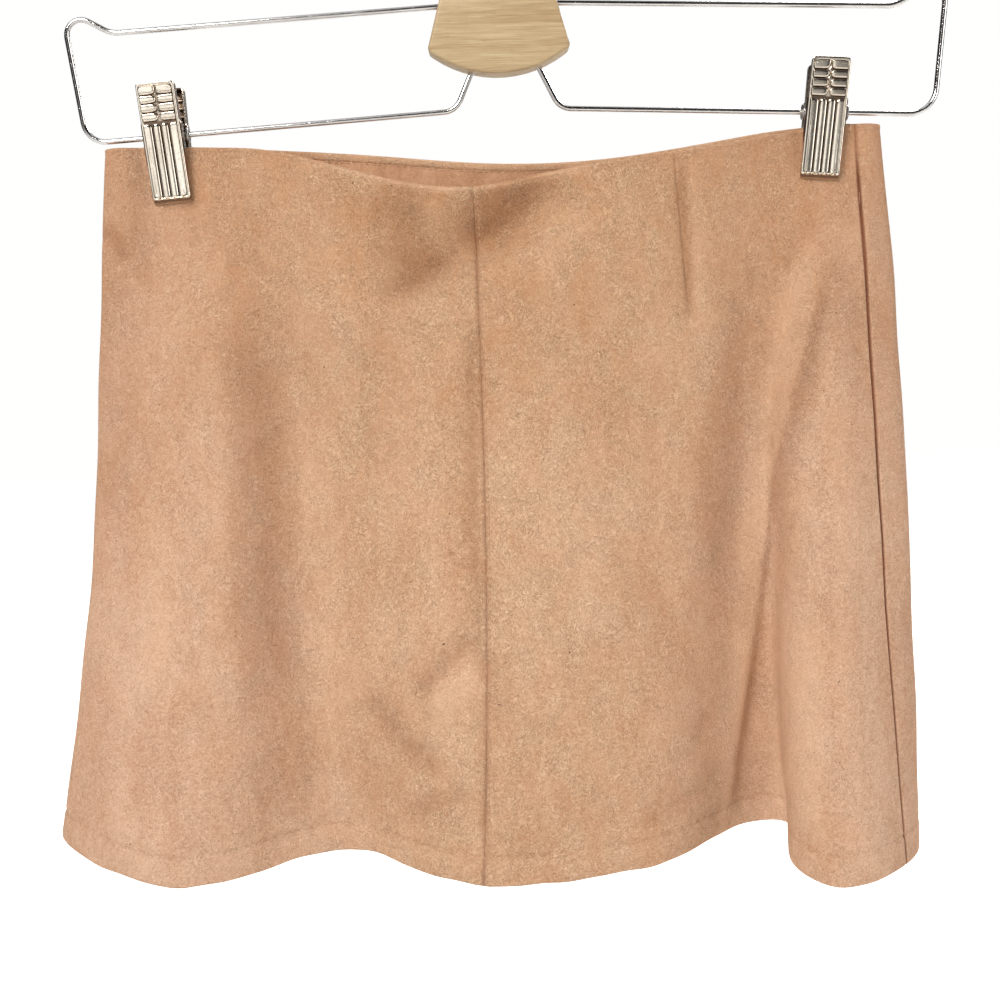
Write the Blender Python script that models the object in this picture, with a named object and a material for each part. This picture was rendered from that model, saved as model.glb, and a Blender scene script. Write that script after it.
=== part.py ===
"""A suede mini skirt hanging from a clip hanger.

Metres, +Z up, with the origin at the inner crown of the hanger's hook, where it hangs. The skirt's
front faces -Y and +X is to the right of someone who looks at the front. The skirt is an A-line tube of
cloth: two front panels that meet at a centre front seam, one back panel and a facing inside the waist.
Two clips pinch the waist flat near its ends. Between them the waist sags, and below them the cloth
falls in folds that widen towards the hem.
"""

import math
from collections import namedtuple

import bmesh
import bpy
import numpy as np
from mathutils import Matrix, Vector

# Sizes are in millimetres down to the point where a mesh is made.
MM = 0.001
GAP = 0.3  # clearance between neighbouring pieces

# Skirt
SKIRT_SHIFT = -3.0  # the skirt hangs this far to the side of the hook
WAIST_Z = -172.3
HEM_Z = -515.0
CLOTH = 1.5  # wall of the suede
FACING = 1.0  # wall of the facing
TURNING = 1.3  # what the second layer adds inside the turned top edge and the hem
TURNED_EDGE = 4.0
HEM_DEPTH = 16.0
EDGE_ROUND = 0.7
PINCHED = CLOTH / 2 + GAP + FACING + GAP / 2 - 0.1  # mid-wall to the middle plane, under a clip

# Each row is a crest or a hollow that runs from the waist to the hem, going round from the left edge,
# over the front, to the right edge and back behind. x and y are its place in the plan at the waist and
# at the hem, drop is how far its end sags below WAIST_Z or HEM_Z, bow is how far it swings outwards in
# x at half height, and start is the share of the height above which it has not begun to leave its
# place at the waist.
Fold = namedtuple("Fold", "name waist_x waist_y waist_drop hem_x hem_y hem_drop bow start")
FOLDS = [
    Fold("left edge", -181.5, 0, 0, -228.5, 2, -9, -9.0, 0.0),
    Fold("left turn", -173.5, -5, 0, -211, -21, -5, -7.0, 0.0),
    Fold("left flare", -155, -4, 0, -162, -41, 3, 0.0, 0.02),
    Fold("left flank", -126, -8, 1.5, -121.5, -24, 2, 0.0, 0.05),
    Fold("left hollow", -95, -13, 6.5, -86, -8, 1, 0.0, 0.15),
    Fold("left centre", -50, -19, 19.5, -51, -25, 4, 0.0, 0.10),
    Fold("centre front seam", -11, -22, 24.7, -17, -40, 7, 1.5, 0.0),
    Fold("centre crest", 30, -19, 18, 33, -41, 5.5, 0.0, 0.0),
    Fold("dart", 80, -13, 11, 87, -17, 2, 0.0, 0.08),
    Fold("right hollow", 112, -8, 6.5, 120, 8, 0, 0.0, 0.08),
    Fold("right inner turn", 126, -6.5, 4, 138, 4, 0, 0.0, 0.08),
    Fold("right flank", 137, -5, 2.5, 129, -41, 1, 0.0, 0.06),
    Fold("right flare", 149, -4, 0, 144, -64, 3, 0.0, 0.02),
    Fold("right side seam", 167.5, -5, 0, 182, -42, 2.5, 4.5, 0.02),
    Fold("right edge", 179, 0, 0, 195, -20, 2.5, 9.0, 0.02),
    Fold("right back turn", 172, 5, 0, 188, 12, 0, 7.0, 0.0),
    Fold("right back flare", 150, 4, 0, 157, 33, 0, 0.0, 0.0),
    Fold("right back crest", 100, 9, 5, 109, 42, 1, 0.0, 0.0),
    Fold("right back hollow", 48, 14, 10.5, 44, 26, 2, 0.0, 0.05),
    Fold("centre back crest", -4, 15, 10.5, -15, 40, 2, 0.0, 0.0),
    Fold("left back hollow", -56, 13, 5.5, -71, 25, 1, 0.0, 0.05),
    Fold("left back crest", -110, 8, 1.5, -131, 40, 0, 0.0, 0.0),
    Fold("left back flare", -154, 4, 0, -190, 26, -2, -5.0, 0.0),
    Fold("left side seam", -173, 5, 0, -215, 15, -7, -7.0, 0.0),
]
FLARE_POWER = 2.5  # the sides hang almost straight from the waist and swing out low down
FOLD_POWER = 1.15  # folds open like cones

# Soft hollows pressed into a wall below the sagging waist: depth is into the skirt.
Dent = namedtuple("Dent", "name front x z reach_x reach_z depth")
DENTS = [
    Dent("hollow left of the seam", True, -45, -216, 42, 24, 6.0),
    Dent("hollow right of the seam", True, 18, -212, 34, 20, 6.0),
    Dent("hollow inside the right clip", True, 118, -210, 22, 40, 2.5),
    Dent("hollow behind, centre", False, -5, -208, 60, 26, 4.0),
]

# Hanger
BLOCK_THICK = 13.0
BLOCK_ROUND = 1.6
BLOCK_CORNER = (33.0, -133.5)  # where the sides meet the curved foot
BLOCK_SHOULDER = (21.5, -93.0)  # where the sides meet the curved top
BLOCK_FOOT_Z = -144.8
BLOCK_TOP_Z = -82.0
WIRE = 2.5
HOOK_WIRE = 3.6
HOOK_INNER = 20.0  # inner radius of the hook's crown
IN_BLOCK = 9.0  # how far a wire reaches into the block

# The corners of each loop in X and Z, from its lower end in the block to its upper one, with the
# radius of each bend.
Corner = namedtuple("Corner", "x z bend")
LEFT_LOOP = [
    Corner(-9.1, -134.2, 0),
    Corner(-20.9, -160.2, 9),
    Corner(-193.8, -169.4, 10),
    Corner(-201.2, -108.0, 7),
    Corner(-179.0, -120.2, 14),
    Corner(-18.8, -112.8, 0),
]
RIGHT_LOOP = [
    Corner(13.1, -131.5, 0),
    Corner(27.5, -160.5, 9),
    Corner(202.4, -168.7, 12),
    Corner(208.0, -106.5, 7),
    Corner(183.5, -119.4, 14),
    Corner(18.8, -112.8, 0),
]

# Clips: each hangs on its loop's rail and pinches the waist.
Clip = namedtuple("Clip", "name rail x lean")
CLIPS = [
    Clip("clip_left", (LEFT_LOOP[1], LEFT_LOOP[2]), -156.5, -3.8),
    Clip("clip_right", (RIGHT_LOOP[1], RIGHT_LOOP[2]), 151.2, 5.6),
]
JAW_WIDTH = 17.6
JAW_UP = 23.0  # from the rail to the top of the grips
JAW_DOWN = 31.2  # from the rail to the lip that holds the cloth
JAW_TILT = 6.2  # degrees that a jaw's face leans from the vertical
JAW_WALL = 1.0
LIP_OUT = PINCHED + CLOTH / 2 + GAP  # inner edge of the lip, from the middle plane
FACE_OUT = LIP_OUT + 2.9  # the face at the lip, from the middle plane
FLUTES = 4
FLUTE_PITCH = 3.3
FLUTE_RISE = 0.9
FLUTE_TOP = 4.0  # above the rail
RIBS = 4
RIB_PITCH = 3.9
RIB_FOOT = 6.0
RIM = 0.6  # how far the jaw's rim stands out
RIM_DROP = -0.8  # and how far its outer edge falls back
PINCH_MARGIN = 3.2  # how far beside the jaws the cloth still lies flat
PINCH_BELOW = 5.0  # and how far below them
PINCH_EASE_OUT = 12.0  # over what length it leaves the flat: towards the side,
PINCH_EASE_IN = 34.0  # towards the middle,
PINCH_EASE_DOWN = 55.0  # and downwards
SPRING_RADIUS = 3.0
SPRING_EAR = 4.1
EAR_OUT = 9.6
EAR_THICK = 1.0

COLOURS = {
    "suede": ((0.62, 0.38, 0.24), 0.95, 0.0),
    "facing": ((0.58, 0.36, 0.23), 0.9, 0.0),
    "chrome": ((0.72, 0.72, 0.71), 0.16, 1.0),
    "nickel": ((0.66, 0.63, 0.57), 0.22, 1.0),
    "oak": ((0.60, 0.43, 0.26), 0.55, 0.0),
}


def clear_scene():
    for thing in list(bpy.data.objects):
        bpy.data.objects.remove(thing, do_unlink=True)


def material(name):
    """The Principled material of that name, made on its first use."""
    if name in bpy.data.materials:
        return bpy.data.materials[name]
    colour, roughness, metallic = COLOURS[name]
    made = bpy.data.materials.new(name)
    made.use_nodes = True
    surface = made.node_tree.nodes["Principled BSDF"]
    surface.inputs["Base Color"].default_value = (*colour, 1.0)
    surface.inputs["Roughness"].default_value = roughness
    surface.inputs["Metallic"].default_value = metallic
    return made


def show(name, data, finish):
    thing = bpy.data.objects.new(name, data)
    data.materials.append(material(finish))
    bpy.context.scene.collection.objects.link(thing)
    return thing


def mesh_from(name, bm, sharp_above=40.0):
    """A mesh with its faces turned outwards, smooth but for edges sharper than the given degrees."""
    bm.normal_update()
    bmesh.ops.recalc_face_normals(bm, faces=bm.faces)
    mesh = bpy.data.meshes.new(name)
    bm.to_mesh(mesh)
    bm.free()
    mesh.shade_smooth()
    mesh.set_sharp_from_angle(angle=math.radians(sharp_above))
    return mesh


def smooth_step(share):
    share = np.clip(share, 0.0, 1.0)
    return share * share * (3 - 2 * share)


# The cloth's surface


def spline_weights(knots, places):
    """For each place, the weight of each knot on a smooth closed curve through them all.

    Knots and places are shares of one round. The curve is the periodic cubic spline.
    """
    count = len(knots)
    gaps = np.diff(np.append(knots, knots[0] + 1.0))
    bend = np.zeros((count, count))
    pull = np.zeros((count, count))
    for i in range(count):
        before = gaps[i - 1]
        after = gaps[i]
        following = (i + 1) % count
        bend[i, i - 1] = before / 6
        bend[i, i] = (before + after) / 3
        bend[i, following] = after / 6
        pull[i, i - 1] = 1 / before
        pull[i, i] = -1 / before - 1 / after
        pull[i, following] = 1 / after
    second = np.linalg.solve(bend, pull)
    places = np.mod(places, 1.0)
    span = np.searchsorted(knots, places, side="right") - 1
    width = gaps[span][..., None]
    late = (places - knots[span])[..., None] / width
    early = 1 - late
    ends = np.eye(count)
    following = (span + 1) % count
    straight = early * ends[span] + late * ends[following]
    curved = (early**3 - early) * second[span] + (late**3 - late) * second[following]
    return straight + curved * width**2 / 6


WAIST = np.array([(f.waist_x, f.waist_y, WAIST_Z - f.waist_drop) for f in FOLDS])
HEM = np.array([(f.hem_x, f.hem_y, HEM_Z - f.hem_drop) for f in FOLDS])
BOW = np.array([f.bow for f in FOLDS])
START = np.array([f.start for f in FOLDS])


def fold_knots():
    """Each fold's place round the skirt, as a share of one round measured at half height."""
    middle = (WAIST + HEM)[:, :2] / 2
    steps = np.linalg.norm(np.roll(middle, -1, axis=0) - middle, axis=1)
    return np.concatenate([[0.0], np.cumsum(steps)[:-1]]) / steps.sum()


KNOTS = fold_knots()


def knot(name):
    return KNOTS[[f.name for f in FOLDS].index(name)]


CENTRE_SEAM = knot("centre front seam")
RIGHT_SEAM = knot("right side seam")
LEFT_SEAM = knot("left side seam") - 1.0
RIGHT_EDGE = knot("right edge")


def clip_axis_x(clip, z):
    """Where a leaning clip's middle line is at the height z."""
    return clip.x + (z - rail_z(clip)) * math.tan(math.radians(clip.lean))


def rail_z(clip):
    inner, outer = clip.rail
    return inner.z + (clip.x - inner.x) / (outer.x - inner.x) * (outer.z - inner.z)


def middle_surface(around, down):
    """The middle of the wall, for arrays of places around the skirt and shares of its height down it."""
    weights = spline_weights(KNOTS, around)
    down = np.clip(down, 0.0, 1.0)[..., None]
    flare = down**FLARE_POWER
    opening = np.clip((down - START) / (1 - START), 0.0, 1.0) ** FOLD_POWER
    x = WAIST[:, 0] + (HEM - WAIST)[:, 0] * flare + BOW * 4 * down * (1 - down)
    y = WAIST[:, 1] + (HEM - WAIST)[:, 1] * opening
    z = WAIST[:, 2] + (HEM - WAIST)[:, 2] * down
    x, y, z = ((weights * part).sum(axis=-1) for part in (x, y, z))
    front = np.mod(around, 1.0) < RIGHT_EDGE
    for dent in DENTS:
        near = ((x - dent.x) / dent.reach_x) ** 2 + ((z - dent.z) / dent.reach_z) ** 2
        inwards = 1.0 if dent.front else -1.0
        y = y + np.where(front == dent.front, inwards * dent.depth * np.exp(-near), 0.0)
    x = x + SKIRT_SHIFT
    for clip in CLIPS:
        aside = np.abs(x - clip_axis_x(clip, z)) - JAW_WIDTH / 2 - PINCH_MARGIN
        outer = np.abs(x) > abs(clip.x)
        beside = 1 - smooth_step(aside / np.where(outer, PINCH_EASE_OUT, PINCH_EASE_IN))
        below = 1 - smooth_step((rail_z(clip) - JAW_DOWN - PINCH_BELOW - z) / PINCH_EASE_DOWN)
        y = y + (np.where(front, -PINCHED, PINCHED) - y) * beside * below
    return np.stack([x, y, z], axis=-1)


def surface_frame(around, down):
    """Points of the middle surface, the outward normals there and the unit tangents that run round."""
    step = 2e-4
    middle = middle_surface(around, down)
    along = middle_surface(around + step, down) - middle_surface(around - step, down)
    fall = middle_surface(around, down + step) - middle_surface(around, down - step)
    outward = np.cross(fall, along)
    outward /= np.linalg.norm(outward, axis=-1, keepdims=True)
    along /= np.linalg.norm(along, axis=-1, keepdims=True)
    return middle, outward, along


def height_at(around):
    ends = middle_surface(np.array([around, around]), np.array([0.0, 1.0]))
    return ends[0, 2] - ends[1, 2]


# A row of a wall: its place as a share of the height plus a distance down, and how far its outer and
# inner faces lie from the middle surface.
Row = namedtuple("Row", "share down outer inner")
HALF = CLOTH / 2
BODY_SHARES = [0.045, 0.092, 0.12, 0.17, 0.22, 0.28, 0.35, 0.42, 0.50, 0.58, 0.66, 0.74, 0.82, 0.89]
FACING_ENDS = 3  # the facing reaches down to this one of them
PANEL_ROWS = [
    Row(0, 0, HALF - EDGE_ROUND, EDGE_ROUND - HALF - TURNING),
    Row(0, EDGE_ROUND, HALF, -HALF - TURNING),
    Row(0, TURNED_EDGE, HALF, -HALF - TURNING),
    Row(0, TURNED_EDGE + GAP, HALF, -HALF),
    *(Row(share, 0, HALF, -HALF) for share in BODY_SHARES),
    Row(1, -HEM_DEPTH - GAP, HALF, -HALF),
    Row(1, -HEM_DEPTH, HALF, -HALF - TURNING),
    Row(1, -EDGE_ROUND, HALF, -HALF - TURNING),
    Row(1, 0, HALF - EDGE_ROUND, EDGE_ROUND - HALF - TURNING),
]
FACING_OUTER = -HALF - GAP
FACING_ROWS = [
    Row(0, TURNED_EDGE + 2 * GAP, FACING_OUTER, FACING_OUTER - FACING),
    *(Row(share, 0, FACING_OUTER, FACING_OUTER - FACING) for share in BODY_SHARES[:FACING_ENDS]),
]


def columns(start, end, count):
    return np.linspace(start, end, count)


FRONT_LEFT = columns(LEFT_SEAM, CENTRE_SEAM, 24)
FRONT_RIGHT = columns(CENTRE_SEAM, RIGHT_SEAM, 24)
BACK = columns(RIGHT_SEAM, LEFT_SEAM + 1.0, 36)


def wall(name, places, rows, finish, closed=False):
    """A closed wall of cloth over the given places round the skirt and rows down it.

    An open wall stops half a gap short of the seam at each end. A closed one runs all the way round.
    """
    heights = np.array([height_at(place) for place in places])
    around = np.tile(places, (len(rows), 1))
    down = np.array([row.share + row.down / heights for row in rows])
    middle, outward, along = surface_frame(around, down)
    if not closed:
        middle[:, 0] += along[:, 0] * GAP / 2
        middle[:, -1] -= along[:, -1] * GAP / 2
    outer = np.array([row.outer for row in rows])[:, None, None]
    inner = np.array([row.inner for row in rows])[:, None, None]
    bm = bmesh.new()
    skins = [
        [[bm.verts.new(point) for point in line] for line in (middle + outward * offset) * MM]
        for offset in (outer, inner)
    ]
    wide = len(places)
    spans = range(wide if closed else wide - 1)
    for grid in skins:
        for upper, lower in zip(grid, grid[1:]):
            for j in spans:
                bm.faces.new((upper[j], lower[j], lower[(j + 1) % wide], upper[(j + 1) % wide]))
    outside, inside = skins
    for i in (0, -1):
        for j in spans:
            k = (j + 1) % wide
            bm.faces.new((outside[i][j], outside[i][k], inside[i][k], inside[i][j]))
    if not closed:
        for i in range(len(rows) - 1):
            for j in (0, -1):
                bm.faces.new((outside[i][j], outside[i + 1][j], inside[i + 1][j], inside[i][j]))
    return show(name, mesh_from(name, bm, 60.0), finish)


def skirt():
    wall("front_left_panel", FRONT_LEFT, PANEL_ROWS, "suede")
    wall("front_right_panel", FRONT_RIGHT, PANEL_ROWS, "suede")
    wall("back_panel", BACK, PANEL_ROWS, "suede")
    round_skirt = np.concatenate([FRONT_LEFT[:-1], FRONT_RIGHT[:-1], BACK[:-1]])
    wall("waist_facing", round_skirt, FACING_ROWS, "facing", closed=True)


# The hanger


def arc(centre, radius, start, end, count):
    """Points of an arc in X and Z, with the angles in degrees from +X towards +Z."""
    angles = np.radians(np.linspace(start, end, count))
    return [(centre[0] + radius * math.cos(a), centre[1] + radius * math.sin(a)) for a in angles]


def arc_through(left, peak, right, count):
    """An arc in X and Z through two points level with each other and the peak midway."""
    half = (right[0] - left[0]) / 2
    rise = peak - left[1]
    radius = (half * half + rise * rise) / (2 * abs(rise))
    centre_z = peak - math.copysign(radius, rise)
    reach = math.degrees(math.asin(half / radius))
    up = 90.0 if rise > 0 else -90.0
    turn = reach if rise > 0 else -reach
    return arc(((left[0] + right[0]) / 2, centre_z), radius, up + turn, up - turn, count)


def bent(corners, steps=6):
    """Points along straight runs joined by round bends of each corner's radius, in X and Z."""
    points = [Vector((corners[0].x, corners[0].z))]
    for before, corner, after in zip(corners, corners[1:], corners[2:]):
        here = Vector((corner.x, corner.z))
        back = (Vector((before.x, before.z)) - here).normalized()
        on = (Vector((after.x, after.z)) - here).normalized()
        half = back.angle(on) / 2
        middle = here + (back + on).normalized() * corner.bend / math.sin(half)
        start = here + back * corner.bend / math.tan(half) - middle
        end = here + on * corner.bend / math.tan(half) - middle
        turn = start.angle_signed(end)
        for i in range(steps + 1):
            points.append(middle + Matrix.Rotation(-turn * i / steps, 2) @ start)
    points.append(Vector((corners[-1].x, corners[-1].z)))
    return points


def wire(name, points, thickness, finish):
    """A round wire through points in X and Z, in the hanger's own plane."""
    curve = bpy.data.curves.new(name, "CURVE")
    curve.dimensions = "3D"
    curve.bevel_depth = thickness / 2 * MM
    curve.bevel_resolution = 3
    curve.use_fill_caps = True
    spline = curve.splines.new("POLY")
    spline.points.add(len(points) - 1)
    for spot, (x, z) in zip(spline.points, points):
        spot.co = (x * MM, 0.0, z * MM, 1.0)
    spline.use_smooth = True
    return show(name, curve, finish)


def cut(body, cutter):
    """Cuts the cutter's shape out of the body, and keeps the cutter as a guide."""
    cutter.hide_render = True
    cutter.display_type = "WIRE"
    tool = body.modifiers.new(f"cut {cutter.name}", "BOOLEAN")
    tool.operation = "DIFFERENCE"
    tool.solver = "EXACT"
    tool.object = cutter


def drill(body, start, end, radius):
    """A round hole through the body from one point in X and Z to another."""
    a = Vector((start[0], 0.0, start[1]))
    b = Vector((end[0], 0.0, end[1]))
    bm = bmesh.new()
    bmesh.ops.create_cone(
        bm,
        cap_ends=True,
        segments=14,
        radius1=radius * MM,
        radius2=radius * MM,
        depth=(b - a).length * MM,
    )
    turn = (b - a).to_track_quat("Z", "Y").to_matrix().to_4x4()
    bm.transform(Matrix.Translation((a + b) / 2 * MM) @ turn)
    name = f"{body.name}_hole_{len(body.modifiers)}"
    cut(body, show(name, mesh_from(name, bm), "chrome"))


def hanger_block():
    corner_x, corner_z = BLOCK_CORNER
    shoulder_x, shoulder_z = BLOCK_SHOULDER
    foot = arc_through((-corner_x, corner_z), BLOCK_FOOT_Z, (corner_x, corner_z), 15)
    top = arc_through((-shoulder_x, shoulder_z), BLOCK_TOP_Z, (shoulder_x, shoulder_z), 11)
    bm = bmesh.new()
    base = [bm.verts.new((x * MM, -BLOCK_THICK / 2 * MM, z * MM)) for x, z in foot + top[::-1]]
    face = bm.faces.new(base)
    grown = bmesh.ops.extrude_face_region(bm, geom=[face])
    moved = [v for v in grown["geom"] if isinstance(v, bmesh.types.BMVert)]
    bmesh.ops.translate(bm, vec=(0.0, BLOCK_THICK * MM, 0.0), verts=moved)
    rims = [e for e in bm.edges if abs(e.verts[0].co.y - e.verts[1].co.y) < 1e-6]
    bmesh.ops.bevel(bm, geom=rims, offset=BLOCK_ROUND * MM, segments=2, affect="EDGES", profile=0.6)
    block = show("hanger_block", mesh_from("hanger_block", bm), "oak")
    for loop in (LEFT_LOOP, RIGHT_LOOP):
        for end, on in ((loop[0], loop[1]), (loop[-1], loop[-2])):
            run = Vector((on.x - end.x, on.z - end.z)).normalized()
            inside = Vector((end.x, end.z)) - run * GAP
            drill(block, inside, inside + run * 3 * IN_BLOCK, WIRE / 2 + GAP)
    drill(block, (0.0, BLOCK_TOP_Z - IN_BLOCK - 1), (0.0, BLOCK_TOP_Z + 9), HOOK_WIRE / 2 + GAP)


def hook_points():
    """The hook's middle line: a straight stem, a bend aside, and a crown over the hang point."""
    radius = HOOK_INNER + HOOK_WIRE / 2
    centre = (0.0, -HOOK_INNER)
    crown_start = -52.0
    crown = arc(centre, radius, crown_start, 196.0, 26)
    lean = math.radians(90 + crown_start)
    neck_radius = crown[0][0] / (1 - math.cos(lean))
    neck_z = crown[0][1] - neck_radius * math.sin(lean)
    neck = arc((neck_radius, neck_z), neck_radius, 180.0, 180.0 - math.degrees(lean), 8)
    return [(0.0, BLOCK_TOP_Z - IN_BLOCK), *neck[:-1], *crown]


def turned(name, profile, axis_at, direction, finish, sides=20):
    """A turned ring: a closed profile of (radius, distance along the axis), swept once round."""
    bm = bmesh.new()
    ring = [bm.verts.new((radius * MM, 0.0, along * MM)) for radius, along in profile]
    edges = [bm.edges.new((a, b)) for a, b in zip(ring, ring[1:] + ring[:1])]
    bmesh.ops.spin(
        bm,
        geom=ring + edges,
        cent=(0.0, 0.0, 0.0),
        axis=(0.0, 0.0, 1.0),
        angle=2 * math.pi,
        steps=sides,
        use_merge=True,
    )
    turn = Vector((direction[0], 0.0, direction[1])).to_track_quat("Z", "Y").to_matrix().to_4x4()
    bm.transform(Matrix.Translation((axis_at[0] * MM, 0.0, axis_at[1] * MM)) @ turn)
    return show(name, mesh_from(name, bm), finish)


def hook_collar():
    bore = HOOK_WIRE / 2 + GAP
    profile = [
        (bore, 0.0),
        (5.6, 0.0),
        (5.6, 1.0),
        (4.2, 1.8),
        (3.2, 4.6),
        (bore, 4.6),
    ]
    turned("hook_collar", profile, (0.0, BLOCK_TOP_Z + GAP), (0.0, 1.0), "chrome")


def hanger():
    hanger_block()
    wire("hanger_hook", hook_points(), HOOK_WIRE, "chrome")
    hook_collar()
    wire("wire_loop_left", bent(LEFT_LOOP), WIRE, "chrome")
    wire("wire_loop_right", bent(RIGHT_LOOP), WIRE, "chrome")


# The clips


def face_out(up):
    """How far a jaw's flat face is from the middle plane, at a height above the rail."""
    return FACE_OUT + (up + JAW_DOWN) * math.tan(math.radians(JAW_TILT))


def relief(across, up):
    """How far the pressed pattern stands out of a jaw's face: flutes below, ribs above, a rim round it."""
    edge = JAW_WIDTH / 2
    half = FLUTES * FLUTE_PITCH / 2
    if abs(across) >= edge - 1e-6 or up >= JAW_UP - 1e-6 or up <= -JAW_DOWN + 1e-6:
        return RIM_DROP
    if abs(across) > half + 0.1 or up > RIB_FOOT + RIBS * RIB_PITCH:
        return RIM
    if up < -JAW_DOWN + 3.5:
        return -0.3
    if up <= FLUTE_TOP:
        return FLUTE_RISE * abs(math.sin(math.pi * (across + half) / FLUTE_PITCH))
    if up < RIB_FOOT:
        return 0.0
    on_rib = abs(math.sin(math.pi * (up - RIB_FOOT) / RIB_PITCH))
    return 0.0 if abs(across) < 0.4 else FLUTE_RISE * on_rib


def jaw_mesh():
    """The front jaw of a clip, about the rail: a shallow pressed tray, later hollowed from behind."""
    edge = JAW_WIDTH / 2
    half = FLUTES * FLUTE_PITCH / 2
    fluted = list(np.linspace(-half, half, 2 * FLUTES + 1))
    across = [-edge, -edge + 0.7, -half - 0.5, *fluted, half + 0.5, edge - 0.7, edge]
    ribbed = list(np.linspace(RIB_FOOT, RIB_FOOT + RIBS * RIB_PITCH, 2 * RIBS + 1))
    ups = [-JAW_DOWN, -JAW_DOWN + 0.9, -JAW_DOWN + 3.6, FLUTE_TOP, *ribbed, JAW_UP - 0.5, JAW_UP]
    bm = bmesh.new()
    front = [
        [bm.verts.new((a * MM, -(face_out(u) + relief(a, u)) * MM, u * MM)) for a in across]
        for u in ups
    ]
    back = [[bm.verts.new((a * MM, -flange_out(u) * MM, u * MM)) for a in across] for u in ups]
    for grid in (front, back):
        for lower, upper in zip(grid, grid[1:]):
            for j in range(len(across) - 1):
                bm.faces.new((lower[j], lower[j + 1], upper[j + 1], upper[j]))
    for i in range(len(ups) - 1):
        for j in (0, -1):
            bm.faces.new((front[i][j], front[i + 1][j], back[i + 1][j], back[i][j]))
    for i in (0, -1):
        for j in range(len(across) - 1):
            bm.faces.new((front[i][j], front[i][j + 1], back[i][j + 1], back[i][j]))
    bmesh.ops.dissolve_limit(bm, angle_limit=math.radians(0.5), verts=bm.verts, edges=bm.edges)
    return mesh_from("jaw", bm, 30.0)


def flange_out(up):
    """How far the free edge of a jaw's sides is from the middle plane."""
    at_rail = SPRING_RADIUS + GAP
    if up <= 0:
        return LIP_OUT + (at_rail - LIP_OUT) * (up + JAW_DOWN) / JAW_DOWN
    return at_rail + face_out(up) - face_out(0)


def jaw_hollow_mesh():
    """What is pressed out of a jaw from behind: all but its walls."""
    side = JAW_WIDTH / 2 - JAW_WALL
    bm = bmesh.new()
    ends = []
    for up in (-JAW_DOWN + JAW_WALL, JAW_UP - JAW_WALL):
        deep = -(face_out(up) - JAW_WALL) * MM
        ends.append(
            [
                bm.verts.new((-side * MM, deep, up * MM)),
                bm.verts.new((side * MM, deep, up * MM)),
                bm.verts.new((side * MM, 0.0, up * MM)),
                bm.verts.new((-side * MM, 0.0, up * MM)),
            ]
        )
    low, high = ends
    bm.faces.new(low)
    bm.faces.new(high)
    for i in range(4):
        bm.faces.new((low[i], low[(i + 1) % 4], high[(i + 1) % 4], high[i]))
    return mesh_from("jaw_hollow", bm)


def clips():
    jaw = jaw_mesh()
    hollow = jaw_hollow_mesh()
    for clip in CLIPS:
        centre = Vector((clip.x, 0.0, rail_z(clip))) * MM
        lean = Matrix.Rotation(math.radians(clip.lean), 4, "Y")
        for side, turn in (("front", 0.0), ("back", math.pi)):
            place = Matrix.Translation(centre) @ lean @ Matrix.Rotation(turn, 4, "Z")
            body = show(f"{clip.name}_{side}_jaw", jaw.copy(), "nickel")
            cutter = show(f"{clip.name}_{side}_hollow", hollow.copy(), "nickel")
            body.matrix_world = place
            cutter.matrix_world = place
            cut(body, cutter)
        inner, outer = clip.rail
        run = (outer.x - inner.x, outer.z - inner.z)
        bore = WIRE / 2 + GAP
        profile = [
            (bore, -EAR_OUT - EAR_THICK),
            (SPRING_EAR, -EAR_OUT - EAR_THICK),
            (SPRING_EAR, -EAR_OUT),
            (SPRING_RADIUS, -EAR_OUT),
            (SPRING_RADIUS, EAR_OUT),
            (SPRING_EAR, EAR_OUT),
            (SPRING_EAR, EAR_OUT + EAR_THICK),
            (bore, EAR_OUT + EAR_THICK),
        ]
        turned(f"{clip.name}_spring", profile, (clip.x, rail_z(clip)), run, "nickel", sides=16)


clear_scene()
skirt()
hanger()
clips()
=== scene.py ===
"""The looks of a suede mini skirt that hangs from a clip hanger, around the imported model.

Metres in Blender, millimetres in the tables below. The skirt's front faces -Y, and the origin is the
inner crown of the hanger's hook.
"""

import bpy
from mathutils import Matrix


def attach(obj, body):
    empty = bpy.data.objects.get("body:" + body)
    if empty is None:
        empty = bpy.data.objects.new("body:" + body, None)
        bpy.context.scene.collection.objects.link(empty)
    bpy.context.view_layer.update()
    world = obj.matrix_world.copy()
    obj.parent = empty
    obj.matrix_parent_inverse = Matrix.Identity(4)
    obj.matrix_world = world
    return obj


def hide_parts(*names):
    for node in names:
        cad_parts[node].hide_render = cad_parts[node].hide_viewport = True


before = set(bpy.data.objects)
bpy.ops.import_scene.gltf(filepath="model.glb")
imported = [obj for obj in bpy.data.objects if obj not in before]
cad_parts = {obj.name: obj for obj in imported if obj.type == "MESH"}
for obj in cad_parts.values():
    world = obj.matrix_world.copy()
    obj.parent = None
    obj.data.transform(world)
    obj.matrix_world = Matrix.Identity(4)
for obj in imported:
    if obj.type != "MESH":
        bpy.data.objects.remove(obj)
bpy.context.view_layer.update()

import math
from collections import namedtuple
from contextlib import contextmanager

import bmesh
import bpy
import numpy as np
from mathutils import Matrix, Vector

MM = 0.001
BODY = "root"


def table(kind, rows):
    return [kind(*row) for row in rows]


# The skirt's form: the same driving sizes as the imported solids.
SKIRT_SHIFT = -3.0
WAIST_Z = -172.3
HEM_Z = -515.0
CLOTH = 1.5
HALF = CLOTH / 2
FACING = 1.0
TURNING = 1.3  # what the second layer adds at the turned top edge and the hem
TURNED_EDGE = 3.4
HEM_DEPTH = 16.0
CLEAR = 0.3
PINCHED = HALF + CLEAR + FACING + CLEAR / 2 - 0.1

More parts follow.
